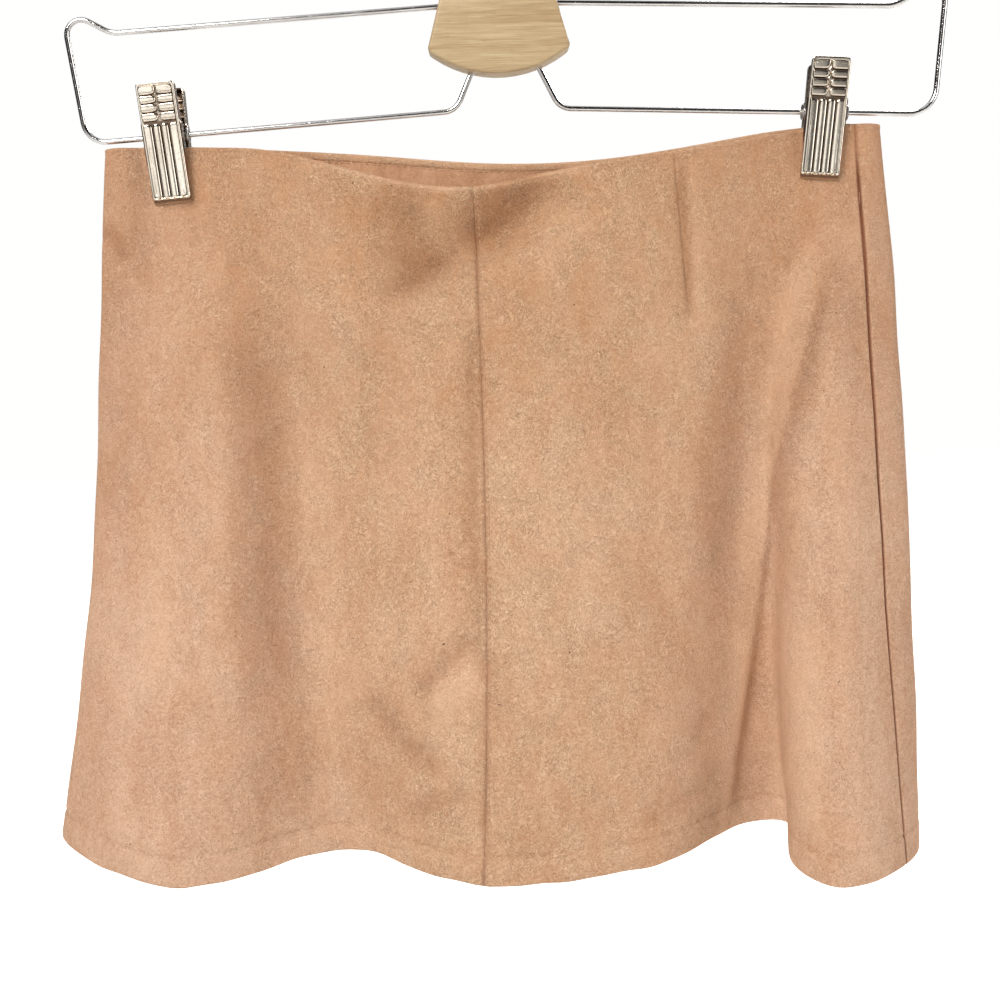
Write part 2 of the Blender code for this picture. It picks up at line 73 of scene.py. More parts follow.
Fold = namedtuple("Fold", "name waist_x waist_y waist_drop hem_x hem_y hem_drop bow start")
FOLDS = table(Fold, [
    ("left edge", -181.5, 0, 0, -228.5, 2, -9, -9.0, 0.0),
    ("left turn", -173.5, -5, 0, -211, -21, -5, -7.0, 0.0),
    ("left flare", -155, -4, 0, -162, -41, 3, 0.0, 0.02),
    ("left flank", -126, -8, 1.5, -121.5, -24, 2, 0.0, 0.05),
    ("left hollow", -95, -13, 6.5, -86, -8, 1, 0.0, 0.15),
    ("left centre", -50, -19, 19.5, -51, -25, 4, 0.0, 0.10),
    ("centre front seam", -11, -22, 24.7, -17, -40, 7, 1.5, 0.0),
    ("centre crest", 30, -19, 18, 33, -41, 5.5, 0.0, 0.0),
    ("dart", 80, -13, 11, 87, -17, 2, 0.0, 0.08),
    ("right hollow", 112, -8, 6.5, 120, 8, 0, 0.0, 0.08),
    ("right inner turn", 126, -6.5, 4, 138, 4, 0, 0.0, 0.08),
    ("right flank", 137, -5, 2.5, 129, -41, 1, 0.0, 0.06),
    ("right flare", 149, -4, 0, 144, -64, 3, 0.0, 0.02),
    ("right side seam", 167.5, -5, 0, 182, -42, 2.5, 4.5, 0.02),
    ("right edge", 179, 0, 0, 195, -20, 2.5, 9.0, 0.02),
    ("right back turn", 172, 5, 0, 188, 12, 0, 7.0, 0.0),
    ("right back flare", 150, 4, 0, 157, 33, 0, 0.0, 0.0),
    ("right back crest", 100, 9, 5, 109, 42, 1, 0.0, 0.0),
    ("right back hollow", 48, 14, 10.5, 44, 26, 2, 0.0, 0.05),
    ("centre back crest", -4, 15, 10.5, -15, 40, 2, 0.0, 0.0),
    ("left back hollow", -56, 13, 5.5, -71, 25, 1, 0.0, 0.05),
    ("left back crest", -110, 8, 1.5, -131, 40, 0, 0.0, 0.0),
    ("left back flare", -154, 4, 0, -190, 26, -2, -5.0, 0.0),
    ("left side seam", -173, 5, 0, -215, 15, -7, -7.0, 0.0),
])
FLARE_POWER = 2.5
FOLD_POWER = 1.15

Dent = namedtuple("Dent", "name front x z reach_x reach_z depth")
DENTS = table(Dent, [
    ("hollow left of the seam", True, -45, -216, 42, 24, 6.0),
    ("hollow right of the seam", True, 18, -212, 34, 20, 6.0),
    ("hollow inside the right clip", True, 118, -210, 22, 40, 2.5),
    ("hollow behind, centre", False, -5, -208, 60, 26, 4.0),
])

# Soft troughs and ridges in the cloth. Each runs through points in X and Z, stands out by its height
# (troughs go in), and fades over `left` and `right` to either side, seen from the front.
Crease = namedtuple("Crease", "front name line height left right")


def creases(front, rows):
    return table(Crease, [(front, *row) for row in rows])


CREASES = creases(True, [
    ("left flank's shoulder", [(-139, -222), (-138, -384), (-138, -520)], 2.2, 13, 10),
    ("left flank's foot", [(-102, -222), (-100, -384), (-99, -520)], -2.0, 10, 13),
    ("left flank, steeper", [(-122, -262), (-118, -330), (-119, -415)], -1.3, 12, 9),
    ("left lit ridge", [(-88, -300), (-86, -392), (-84, -470)], 1.0, 12, 16),
    ("left outer ridge", [(-167, -340), (-167, -402), (-166, -455)], 0.8, 8, 8),
    ("left edge band", [(-188, -330), (-191, -390), (-196, -440)], -0.7, 5, 6),
    ("faint arc, left", [(-135, -318), (-158, -330), (-178, -352)], -0.5, 4, 5),
    ("pinch at the left edge", [(-186, -209), (-175, -228)], -0.8, 4, 5),
    ("pull under the left clip", [(-141, -199), (-137, -262)], 0.6, 8, 10),
    ("second pull under the left clip", [(-168, -206), (-172, -250)], 0.4, 5, 6),
    (
        "fold under the waist",
        [(32, -194), (18, -203), (2, -214), (-10, -221), (-24, -227), (-38, -236), (-58, -243)],
        -5.5, 18, 9.5,
    ),
    ("hollow under the edge, left", [(-62, -207), (-46, -211), (-38, -209)], -1.8, 9, 7),
    ("ridge between the hollows", [(-35, -200), (-31, -212), (-26, -228)], 1.8, 6, 6),
    ("swell below the fold", [(62, -196), (40, -218), (14, -240)], 1.2, 9, 16),
    ("dart hollow", [(80, -186), (83, -219), (85, -246), (86, -270)], -1.6, 4, 4.5),
    ("right flank's shoulder", [(97, -236), (88, -290), (83, -350), (80, -410)], 1.8, 14, 10),
    ("right flank's foot", [(121, -236), (113, -290), (109, -345), (106, -400)], -1.6, 10, 9),
    ("lower right, filled out", [(106, -395), (104, -450), (98, -508)], 1.9, 18, 7),
    (
        "right crease",
        [
            (150, -232), (141, -267), (136, -290), (129, -332),
            (121, -377), (111, -439), (104, -480), (99, -516),
        ],
        3.0, 11, 3.6,
    ),
    ("filled beside the flare", [(136, -300), (134, -360), (132, -420), (130, -505)], 2.6, 9, 6),
    ("flare's flat", [(146, -320), (141, -482)], 0.9, 8, 9),
    ("hollow under the right clip", [(141, -216), (128, -234), (117, -250)], -1.9, 8, 9),
    ("drag line over the hem", [(104, -482), (82, -490), (50, -497)], -1.3, 5, 5),
    ("ridge under the drag line", [(108, -493), (82, -500), (56, -504)], 0.9, 4, 5),
    ("dimple by the crease", [(93, -450), (84, -464)], -0.7, 5, 6),
    ("crease beside the hem seam", [(-6.5, -490), (-7.5, -522)], -1.1, 2.2, 3.2),
    ("slant by the seam", [(-20, -402), (-35, -417), (-50, -434)], -1.9, 6, 5),
    ("swell under the slant", [(-18, -420), (-32, -429), (-46, -441)], 1.3, 6, 8),
    ("long slant, left", [(-76, -432), (-56, -456), (-36, -471)], -1.5, 6, 6),
    ("wave over the hem", [(-24, -476), (-42, -485), (-60, -493)], -1.5, 6, 6),
    ("shade along the seam", [(-19, -250), (-20, -360), (-23, -420)], -0.9, 5, 4),
    ("long swell, centre", [(28, -290), (34, -400), (40, -480)], 0.9, 20, 22),
    ("long trough, centre left", [(-58, -290), (-62, -340), (-66, -420)], -0.7, 12, 12),
    ("hem ripple, left", [(-165, -512), (-158, -492)], -0.8, 5, 5),
    ("hem ripple, far left", [(-196, -508), (-188, -486)], 0.8, 7, 6),
]) + creases(False, [
    ("back crease, left", [(-100, -260), (-112, -400), (-118, -508)], 2.8, 9, 13),
    ("back trough, left", [(-60, -240), (-70, -380), (-74, -500)], -2.6, 13, 10),
    ("back roll under the waist", [(-60, -222), (-10, -236), (46, -226)], 3.0, 12, 12),
    ("back pull, left clip", [(-140, -204), (-130, -268)], 1.1, 8, 9),
    ("back pull, right clip", [(134, -204), (122, -272)], 1.1, 9, 8),
    ("back crease, centre", [(4, -300), (-2, -400), (-8, -510)], 2.6, 8, 13),
    ("back trough, right", [(62, -270), (70, -400), (74, -505)], -2.6, 12, 10),
    ("back drag over the hem", [(96, -482), (62, -497)], -1.6, 6, 6),
    ("back dimple", [(-36, -446), (-48, -470)], -1.3, 7, 7),
    ("back slant", [(30, -402), (10, -424)], -1.4, 6, 6),
    ("back crease by the side", [(152, -280), (160, -400), (164, -500)], -1.9, 9, 11),
])
CREASE_FADE = 0.22  # the share of a crease's length over which each end fades

# Painted shade (below 0) and painted light on the cloth's colour, in patches laid out as the creases are.
PAINTED_SHADE_AND_LIGHT = creases(True, [
    ("left flank", [(-122, -196), (-118, -300), (-118, -410), (-120, -522)], -0.26, 17, 16),
    ("left flank, upper", [(-119, -250), (-117, -330), (-118, -390), (-119, -440)], -0.42, 11, 10),
    ("beside the left flank", [(-96, -300), (-95, -388), (-99, -489)], 0.3, 9, 12),
    ("left outer", [(-166, -330), (-167, -380), (-169, -440)], 0.3, 8, 8),
    ("left edge, high", [(-178, -200), (-184, -290), (-190, -360)], -0.2, 12, 14),
    ("pinch at the left edge", [(-188, -207), (-182, -215), (-177, -226)], -0.5, 4, 5),
    ("under the waist, right lobe", [(20, -192), (4, -203), (-8, -213), (-22, -221)], -0.5, 12, 7),
    ("under the waist, left lobe", [(-43, -190), (-47, -208), (-50, -232)], -0.42, 12, 12),
    ("along the waist fold", [(20, -199), (0, -213), (-24, -223), (-40, -233), (-58, -243)], -0.34, 13, 4),
    ("foot of the waist fold", [(-26, -226), (-42, -237), (-60, -247)], -0.38, 9, 5),
    ("swell below the waist", [(44, -204), (18, -224), (0, -240)], 0.2, 7, 12),
    ("along the seam", [(-16, -236), (-18, -330), (-18, -420)], -0.45, 4.5, 2.5),
    ("along the seam, low", [(-17, -400), (-18, -450), (-18, -505)], -0.22, 4, 2.5),
    ("left of the seam, high", [(-60, -250), (-66, -290), (-70, -330)], -0.16, 18, 18),
    ("dart", [(82, -184), (84, -224), (85, -262)], -0.6, 3, 3),
    ("beside the dart", [(87, -190), (89, -224), (90, -256)], 0.25, 3, 4),
    ("right flank", [(113, -222), (104, -300), (98, -372), (95, -410), (93, -430)], -0.34, 12, 9),
    ("pale sweep by the crease", [(149, -207), (134, -250), (125, -300), (115, -358), (107, -410)], 0.45, 6, 6),
    ("hollow under the right clip", [(147, -213), (139, -224), (130, -240)], -0.35, 4.5, 4.5),
    ("right of the crease", [(150, -232), (136, -290), (125, -357), (115, -410)], -0.85, 1.0, 5),
    ("right of the crease, low", [(116, -404), (111, -439), (98, -520)], -0.24, 1.0, 4.5),
    ("pale beside the crease, low", [(114, -385), (106, -440), (97, -500)], 0.4, 8, 5),
    ("pale over the right hem", [(92, -372), (90, -400), (87, -450), (84, -500)], 0.48, 8, 9),
    ("left of the crease", [(136, -290), (125, -357), (111, -439), (99, -516)], 0.3, 3.5, 0.8),
    (
        "pale in the hollow by the flare",
        [(111, -406), (109, -424), (108, -447), (108, -470), (109, -490)],
        1.0, 5, 5.5,
    ),
    ("wall by the flare", [(136, -392), (134, -440), (132, -508)], 0.4, 6, 6),
    ("faint line by the flare", [(146, -340), (144, -395), (141, -500)], -0.25, 2.5, 2.5),
    ("flare", [(153, -260), (152, -345), (148, -480)], 0.15, 6, 9),
    ("beside the right seam, high", [(157, -226), (158, -262), (154, -296)], -0.3, 6, 6),
    ("slant by the seam", [(-20, -402), (-35, -417), (-50, -436)], -0.45, 6, 5),
    ("pale patch under the slant", [(-20, -420), (-32, -434), (-42, -444)], 0.5, 7, 7),
    ("long slant", [(-76, -432), (-56, -456), (-36, -472)], -0.4, 7, 6),
    ("over the hem, by the seam", [(-24, -476), (-42, -485), (-60, -493)], -0.35, 5, 5),
    ("patch by the crease", [(91, -448), (87, -459), (84, -468)], -0.26, 4, 4),
    ("drag over the hem", [(106, -486), (84, -492), (54, -498)], -0.2, 4, 4),
    (
        "pale along the front edge",
        [
            (-96, -180.4), (-75, -187.2), (-53, -193.2), (-33, -197),
            (-14, -198.4), (6, -196), (27, -191.7), (52, -187.8),
        ],
        0.8, 1.6, 1.6,
    ),
]) + creases(False, [
    ("back flank", [(-98, -230), (-106, -370), (-112, -515)], -0.42, 13, 15),
    ("back, left of the middle", [(-46, -270), (-58, -390), (-64, -500)], -0.26, 12, 14),
    ("back, pale left", [(-78, -300), (-86, -400), (-90, -490)], 0.28, 8, 9),
    ("back, right", [(84, -236), (92, -370), (98, -515)], -0.4, 15, 12),
    ("back, right of the middle", [(34, -290), (36, -400), (40, -500)], -0.22, 12, 12),
    ("back, pale right", [(120, -300), (128, -400), (134, -490)], 0.28, 9, 8),
    ("back under the waist", [(-48, -208), (-4, -220), (44, -208)], -0.42, 9, 11),
    ("back slant", [(28, -396), (8, -420)], -0.3, 6, 6),
    (
        "pale along the back edge",
        [(-113, -174.6), (-59, -179.2), (-7, -184.4), (45, -184.4), (97, -178.8), (147, -173.8)],
        0.7, 2.4, 2.4,
    ),
    ("back drag over the hem", [(98, -480), (60, -498)], -0.32, 5, 5),
])

# Sewing
FACING_DEPTH = 41.0
TURNED_RUN_OUT = 0.6  # over how much the second layer thins away, at the turned edge and at the hem
HEM_RUN_OUT = 0.8
EDGE_HALF = 0.04  # half of what is left of the cloth at its very edge
SIDES_FROM = 60  # seams nearer the middle than this are the centre front seam
LAP = 0.3  # how far the right panel stands proud beside the centre seam
TOPSTITCH_IN = 1.7  # from the seam to its row of stitches
EDGE_STITCH = 1.8  # from the top edge to its row of stitches
HEM_STITCH = HEM_DEPTH - 1.6  # from the hem's fold to its row of stitches
DART = [(79.0, -183.6), (81.8, -219.0), (85.0, -259.0)]
DART_END = 0.75  # the share of the dart's length from where it fades

# What stands out of a panel's face, or sinks in, beside an edge or a line: how far off, its reach and height.
Line = namedtuple("Line", "at reach height")
SIDE_SEAM = Line(0.0, 0.8, -1.15)
CENTRE_FRONT = Line(0.0, 1.3, -0.55)
CENTRE_ROLL = Line(0.0, 3.0, -0.3)
CENTRE_SEWN = Line(TOPSTITCH_IN, 0.45, -0.34)
TOP_ROLL = Line(1.0, 1.3, 0.28)
TOP_SEWN = Line(EDGE_STITCH, 0.45, -0.28)
TURNED_END = Line(TURNED_EDGE + 0.4, 0.8, -0.16)
DART_RIDGE = Line(-1.9, 1.2, 0.15)
DART_GROOVE = Line(0.0, 0.7, -0.45)

# `first` and `last` are how far a row of stitches stays from both ends of its panel.
Stitch = namedtuple("Stitch", "length radius spacing first last")
CENTRE_STITCHES = Stitch(2.3, 0.25, 3.0, 5.0, 2.0)
EDGE_STITCHES = Stitch(2.3, 0.16, 3.1, 3.0, 3.0)
HEM_STITCHES = Stitch(1.1, 0.13, 6.4, 3.0, 3.0)
FACING_STITCHES = Stitch(2.3, 0.17, 3.0, 3.0, 3.0)
FACING_SEWN = TURNED_EDGE + 1.1  # from the top edge to the facing's row of stitches

# Hanger
BLOCK_THICK = 13.0
BLOCK_ROUND = 1.6
BLOCK_CORNER = (33.0, -133.5)
BLOCK_SHOULDER = (21.5, -93.0)
BLOCK_FOOT_Z = -144.8
BLOCK_TOP_Z = -82.0
FOOT_CUTS = 15  # how many cuts round off the block's foot, and its shoulders
SHOULDER_CUTS = 11
SPARE = 5.0  # stock beyond the block's sides, to be sawn off
WIRE = 2.5
HOOK_WIRE = 3.6
HOOK_INNER = 20.0
IN_BLOCK = 9.0

Corner = namedtuple("Corner", "x z bend")
LEFT_LOOP = table(Corner, [
    (-9.1, -134.2, 0),
    (-20.9, -160.2, 9),
    (-193.8, -169.4, 10),
    (-201.2, -108.0, 7),
    (-179.0, -120.2, 14),
    (-18.8, -112.8, 0),
])
RIGHT_LOOP = table(Corner, [
    (13.1, -131.5, 0),
    (27.5, -160.5, 9),
    (202.4, -168.7, 12),
    (208.0, -106.5, 7),
    (183.5, -119.4, 14),
    (18.8, -112.8, 0),
])

Clip = namedtuple("Clip", "name rail x lean turn")
CLIPS = table(Clip, [
    ("clip_left", (LEFT_LOOP[1], LEFT_LOOP[2]), -156.5, -3.8, 0.0),
    ("clip_right", (RIGHT_LOOP[1], RIGHT_LOOP[2]), 151.2, 5.6, -8.0),
])
TURN_REACH = 20.0  # how far to either side the cloth follows a clip that hangs turned
JAW_WIDTH = 17.6
JAW_UP = 23.0
JAW_DOWN = 31.2
JAW_TILT = 6.2
JAW_WALL = 1.0
LIP_OUT = PINCHED + HALF + CLEAR
FACE_OUT = LIP_OUT + 2.9
PINCH_MARGIN = 3.2
PINCH_BELOW = 5.0
PINCH_EASE_OUT = 12.0
PINCH_EASE_IN = 34.0
PINCH_EASE_DOWN = 55.0
SPRING_RADIUS = 3.0


def smooth_step(share):
    share = np.clip(share, 0.0, 1.0)
    return share * share * (3 - 2 * share)


def bell(distance, reach):
    return np.exp(-((distance / reach) ** 2))


def raised(distance, line):
    return line.height * bell(distance - line.at, line.reach)


def unit(vectors):
    return vectors / np.linalg.norm(vectors, axis=-1, keepdims=True)


def linked(name, data):
    """An object for a mesh, a curve, a light or a camera, in the scene."""
    made = bpy.data.objects.new(name, data)
    bpy.context.scene.collection.objects.link(made)
    return made


def mark(mesh, name, values):
    """Writes a value at each point of a mesh, for its finish to read."""
    mesh.attributes.new(name, "FLOAT", "POINT").data.foreach_set("value", values.astype(np.float32))


def belongs(piece, node=None):
    """Lets a piece ride, and in its node's stead if it has one."""
    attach(piece, BODY)
    if node:
        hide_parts(node)


# The cloth's surface


def spline_weights(knots, places):
    """For each place, the weight of each knot on the smooth closed curve through them all."""
    after = np.diff(np.append(knots, knots[0] + 1.0))
    before = np.roll(after, 1)[:, None]
    ends = np.eye(len(knots))
    last, following = np.roll(ends, -1, axis=1), np.roll(ends, 1, axis=1)
    bend = last * before / 6 + ends * (before + after[:, None]) / 3 + following * after[:, None] / 6
    pull = last / before - ends * (1 / before + 1 / after[:, None]) + following / after[:, None]
    second = np.linalg.solve(bend, pull)
    places = np.mod(places, 1.0)
    span = np.searchsorted(knots, places, side="right") - 1
    width = after[span][..., None]
    late = (places - knots[span])[..., None] / width
    early = 1 - late
    on = (span + 1) % len(knots)
    straight = early * ends[span] + late * ends[on]
    curved = (early**3 - early) * second[span] + (late**3 - late) * second[on]
    return straight + curved * width**2 / 6


WAIST = np.array([(f.waist_x, f.waist_y, WAIST_Z - f.waist_drop) for f in FOLDS])
HEM = np.array([(f.hem_x, f.hem_y, HEM_Z - f.hem_drop) for f in FOLDS])
BOW = np.array([f.bow for f in FOLDS])
START = np.array([f.start for f in FOLDS])


def fold_knots():
    """Each fold's place round the skirt, as a share of one round measured at half height."""
    middle = (WAIST + HEM)[:, :2] / 2
    steps = np.linalg.norm(np.roll(middle, -1, axis=0) - middle, axis=1)
    return np.concatenate([[0.0], np.cumsum(steps)[:-1]]) / steps.sum()


KNOTS = fold_knots()


def knot(name):
    return KNOTS[[f.name for f in FOLDS].index(name)]


CENTRE_SEAM = knot("centre front seam")
RIGHT_SEAM = knot("right side seam")
LEFT_SEAM = knot("left side seam") - 1.0
RIGHT_EDGE = knot("right edge")


def rail_z(clip):
    inner, outer = clip.rail
    return inner.z + (clip.x - inner.x) / (outer.x - inner.x) * (outer.z - inner.z)


def clip_axis_x(clip, z):
    return clip.x + (z - rail_z(clip)) * math.tan(math.radians(clip.lean))


def beside_clip(clip, x, z):
    """How far places lie to the right of a clip, and how near they are to its height: 1 at it, 0 below."""
    below = (rail_z(clip) - JAW_DOWN - PINCH_BELOW - z) / PINCH_EASE_DOWN
    return x - clip_axis_x(clip, z), 1 - smooth_step(below)


def pinched_share(x, z):
    """How firmly the clips hold the cloth flat at each place: 1 under a jaw, 0 away from both."""
    held = []
    for clip in CLIPS:
        aside, level = beside_clip(clip, x, z)
        ease = np.where(np.abs(x) > abs(clip.x), PINCH_EASE_OUT, PINCH_EASE_IN)
        held.append((1 - smooth_step((np.abs(aside) - JAW_WIDTH / 2 - PINCH_MARGIN) / ease)) * level)
    return np.maximum(*held)


def turned_out(x, z):
    """How far the cloth under a turned clip lies out of the hanger's plane."""
    out = np.zeros(x.shape)
    for clip in CLIPS:
        aside, level = beside_clip(clip, x, z)
        out += aside * math.tan(math.radians(clip.turn)) * bell(aside, TURN_REACH) * level
    return out


def middle_surface(around, down):
    """The middle of the wall, for arrays of places around the skirt and shares of its height down it."""
    weights = spline_weights(KNOTS, around)
    down = np.clip(down, 0.0, 1.0)[..., None]
    flare = down**FLARE_POWER
    opening = np.clip((down - START) / (1 - START), 0.0, 1.0) ** FOLD_POWER
    x = WAIST[:, 0] + (HEM - WAIST)[:, 0] * flare + BOW * 4 * down * (1 - down)
    y = WAIST[:, 1] + (HEM - WAIST)[:, 1] * opening
    z = WAIST[:, 2] + (HEM - WAIST)[:, 2] * down
    x, y, z = ((weights * part).sum(axis=-1) for part in (x, y, z))
    front = np.mod(around, 1.0) < RIGHT_EDGE
    for dent in DENTS:
        near = ((x - dent.x) / dent.reach_x) ** 2 + ((z - dent.z) / dent.reach_z) ** 2
        inwards = 1.0 if dent.front else -1.0
        y = y + np.where(front == dent.front, inwards * dent.depth * np.exp(-near), 0.0)
    x = x + SKIRT_SHIFT
    share = pinched_share(x, z)
    y = y + (np.where(front, -PINCHED, PINCHED) - y) * share + turned_out(x, z)
    return np.stack([x, y, z], axis=-1)


def off_line(x, z, line):
    """How far places lie to the right of a line of points going down, and how far along it, 0 to 1."""
    line = np.array(line, dtype=float)
    lengths = np.linalg.norm(np.diff(line, axis=0), axis=1)
    ends = np.concatenate([[0.0], np.cumsum(lengths)]) / lengths.sum()
    best = np.full(x.shape, np.inf)
    aside = np.zeros(x.shape)
    along = np.zeros(x.shape)
    for i in range(len(lengths)):
        a = line[i]
        run = (line[i + 1] - a) / lengths[i]
        reach = (x - a[0]) * run[0] + (z - a[1]) * run[1]
        held = np.clip(reach, 0.0, lengths[i])
        gap = np.hypot(x - a[0] - held * run[0], z - a[1] - held * run[1])
        side = (x - a[0]) * -run[1] + (z - a[1]) * run[0]
        nearer = gap < best
        best = np.where(nearer, gap, best)
        aside = np.where(nearer, np.sign(side) * gap, aside)
        share = ends[i] + held / lengths[i] * (ends[i + 1] - ends[i])
        along = np.where(nearer, share, along)
    return aside, along


def laid_out(rows, x, z, front):
    """What a table of creases or brushed patches adds up to at each place."""
    out = np.zeros(x.shape)
    for crease in rows:
        aside, along = off_line(x, z, crease.line)
        shape = bell(aside, np.where(aside > 0, crease.right, crease.left))
        ends = smooth_step(np.minimum(along, 1 - along) / CREASE_FADE + 0.15)
        out += np.where(front == crease.front, crease.height * shape * ends, 0.0)
    return out


Wave = namedtuple("Wave", "along_x along_z turn height")
# The slight waviness of cloth that has been worn and washed, and how the hem strays up and down.
UNEVEN = table(Wave, [
    (0.071, 0.019, 0.4, 0.22),
    (-0.043, 0.052, 2.1, 0.20),
    (0.115, -0.031, 4.0, 0.12),
    (0.022, 0.094, 1.2, 0.14),
    (0.163, 0.061, 5.1, 0.07),
    (-0.127, 0.118, 3.3, 0.06),
])
HEM_UNEVEN = table(Wave, [(0.163, 0, 0.8, 0.34), (0.31, 0, -1.1, 0.15), (0.057, 0, 0, 0.35)])
CALM_BELOW = 26.0  # the cloth is even at the top edge and reaches its waviness this far below
HEM_SHARE = 0.14  # the share of the height over which the hem strays


def added_up(waves, x, z):
    return sum(w.height * np.sin(w.along_x * x + w.along_z * z + w.turn) for w in waves)


# Sheets of cloth


def grown(first, ratio, until):
    """Distances from an edge that start close together and grow apart."""
    steps = [0.0]
    step = first
    while steps[-1] < until:
        steps.append(steps[-1] + step)
        step *= ratio
    return np.array(steps)


GRID = 2.0  # the cloth's mesh away from its edges
EDGE_STEP = 0.25
EDGE_GROWTH = 1.22
NEAR_EDGE = 8.0
SAMPLES = 4001  # places from seam to seam at which lengths are measured
# How far above the hem its rows of mesh lie: close at the fold and round the line of stitches.
HEM_ROWS = np.concatenate([[0.0, 0.12, 0.4, 0.8, 1.4, 2.4, 4.0, 6.0, 8.0, 10.0, 12.0], np.arange(12.8, 17.1, 0.4)])


def rows_down(heights):
    """Shares of the height for rows that crowd at the top edge and at the hem."""
    top = grown(EDGE_STEP, EDGE_GROWTH, NEAR_EDGE)
    body = heights.mean() - top[-1] - HEM_ROWS[-1]
    count = round(body / GRID)
    upper = top[:, None] / heights
    lower = 1 - HEM_ROWS[::-1][:, None] / heights
    share = np.linspace(0, 1, count + 1)[1:-1, None]
    middle = upper[-1] * (1 - share) + lower[0] * share
    return np.concatenate([upper, middle, lower])


def columns_round(start, end, close_at=()):
    """Places from one seam to the next that crowd at both, and round the given places."""
    samples = np.linspace(start, end, SAMPLES)
    line = middle_surface(samples, np.full(samples.shape, 0.5))
    length = np.concatenate([[0.0], np.cumsum(np.linalg.norm(np.diff(line, axis=0), axis=1))])
    near = np.minimum(length, length[-1] - length)
    for place, reach in close_at:
        far = np.abs(length - np.interp(place, samples, length)) - reach
        near = np.minimum(near, np.maximum(far, 0.0))
    density = 1 / np.minimum(GRID, EDGE_STEP + near * (EDGE_GROWTH - 1))
    total = np.concatenate([[0.0], np.cumsum((density[1:] + density[:-1]) / 2 * np.diff(length))])
    return np.interp(np.linspace(0, total[-1], round(total[-1]) + 1), total, samples)


def steps_along(points, axis):
    """Distances along a grid of points from its first row or column."""
    gaps = np.linalg.norm(np.diff(points, axis=axis), axis=-1)
    start = np.zeros_like(np.take(gaps, [0], axis=axis))
    return np.concatenate([start, np.cumsum(gaps, axis=axis)], axis=axis)


def outward_of(points):
    """Unit normals that point out of the skirt, for a grid whose rows go down and columns go round."""
    fall = np.gradient(points, axis=0)
    along = np.gradient(points, axis=1)
    return unit(np.cross(fall, along))


def ring_outward(points):
    """The same for a grid whose columns close on themselves."""
    wrapped = np.concatenate([points[:, -1:], points, points[:, :1]], axis=1)
    return outward_of(wrapped)[:, 1:-1]


def rounded(distance, radius):
    """A quarter round: 0 at the very edge, 1 from the radius on."""
    short = 1 - np.clip(distance / radius, 0.0, 1.0)
    return np.sqrt(np.clip(1 - short**2, 0.0, 1.0))


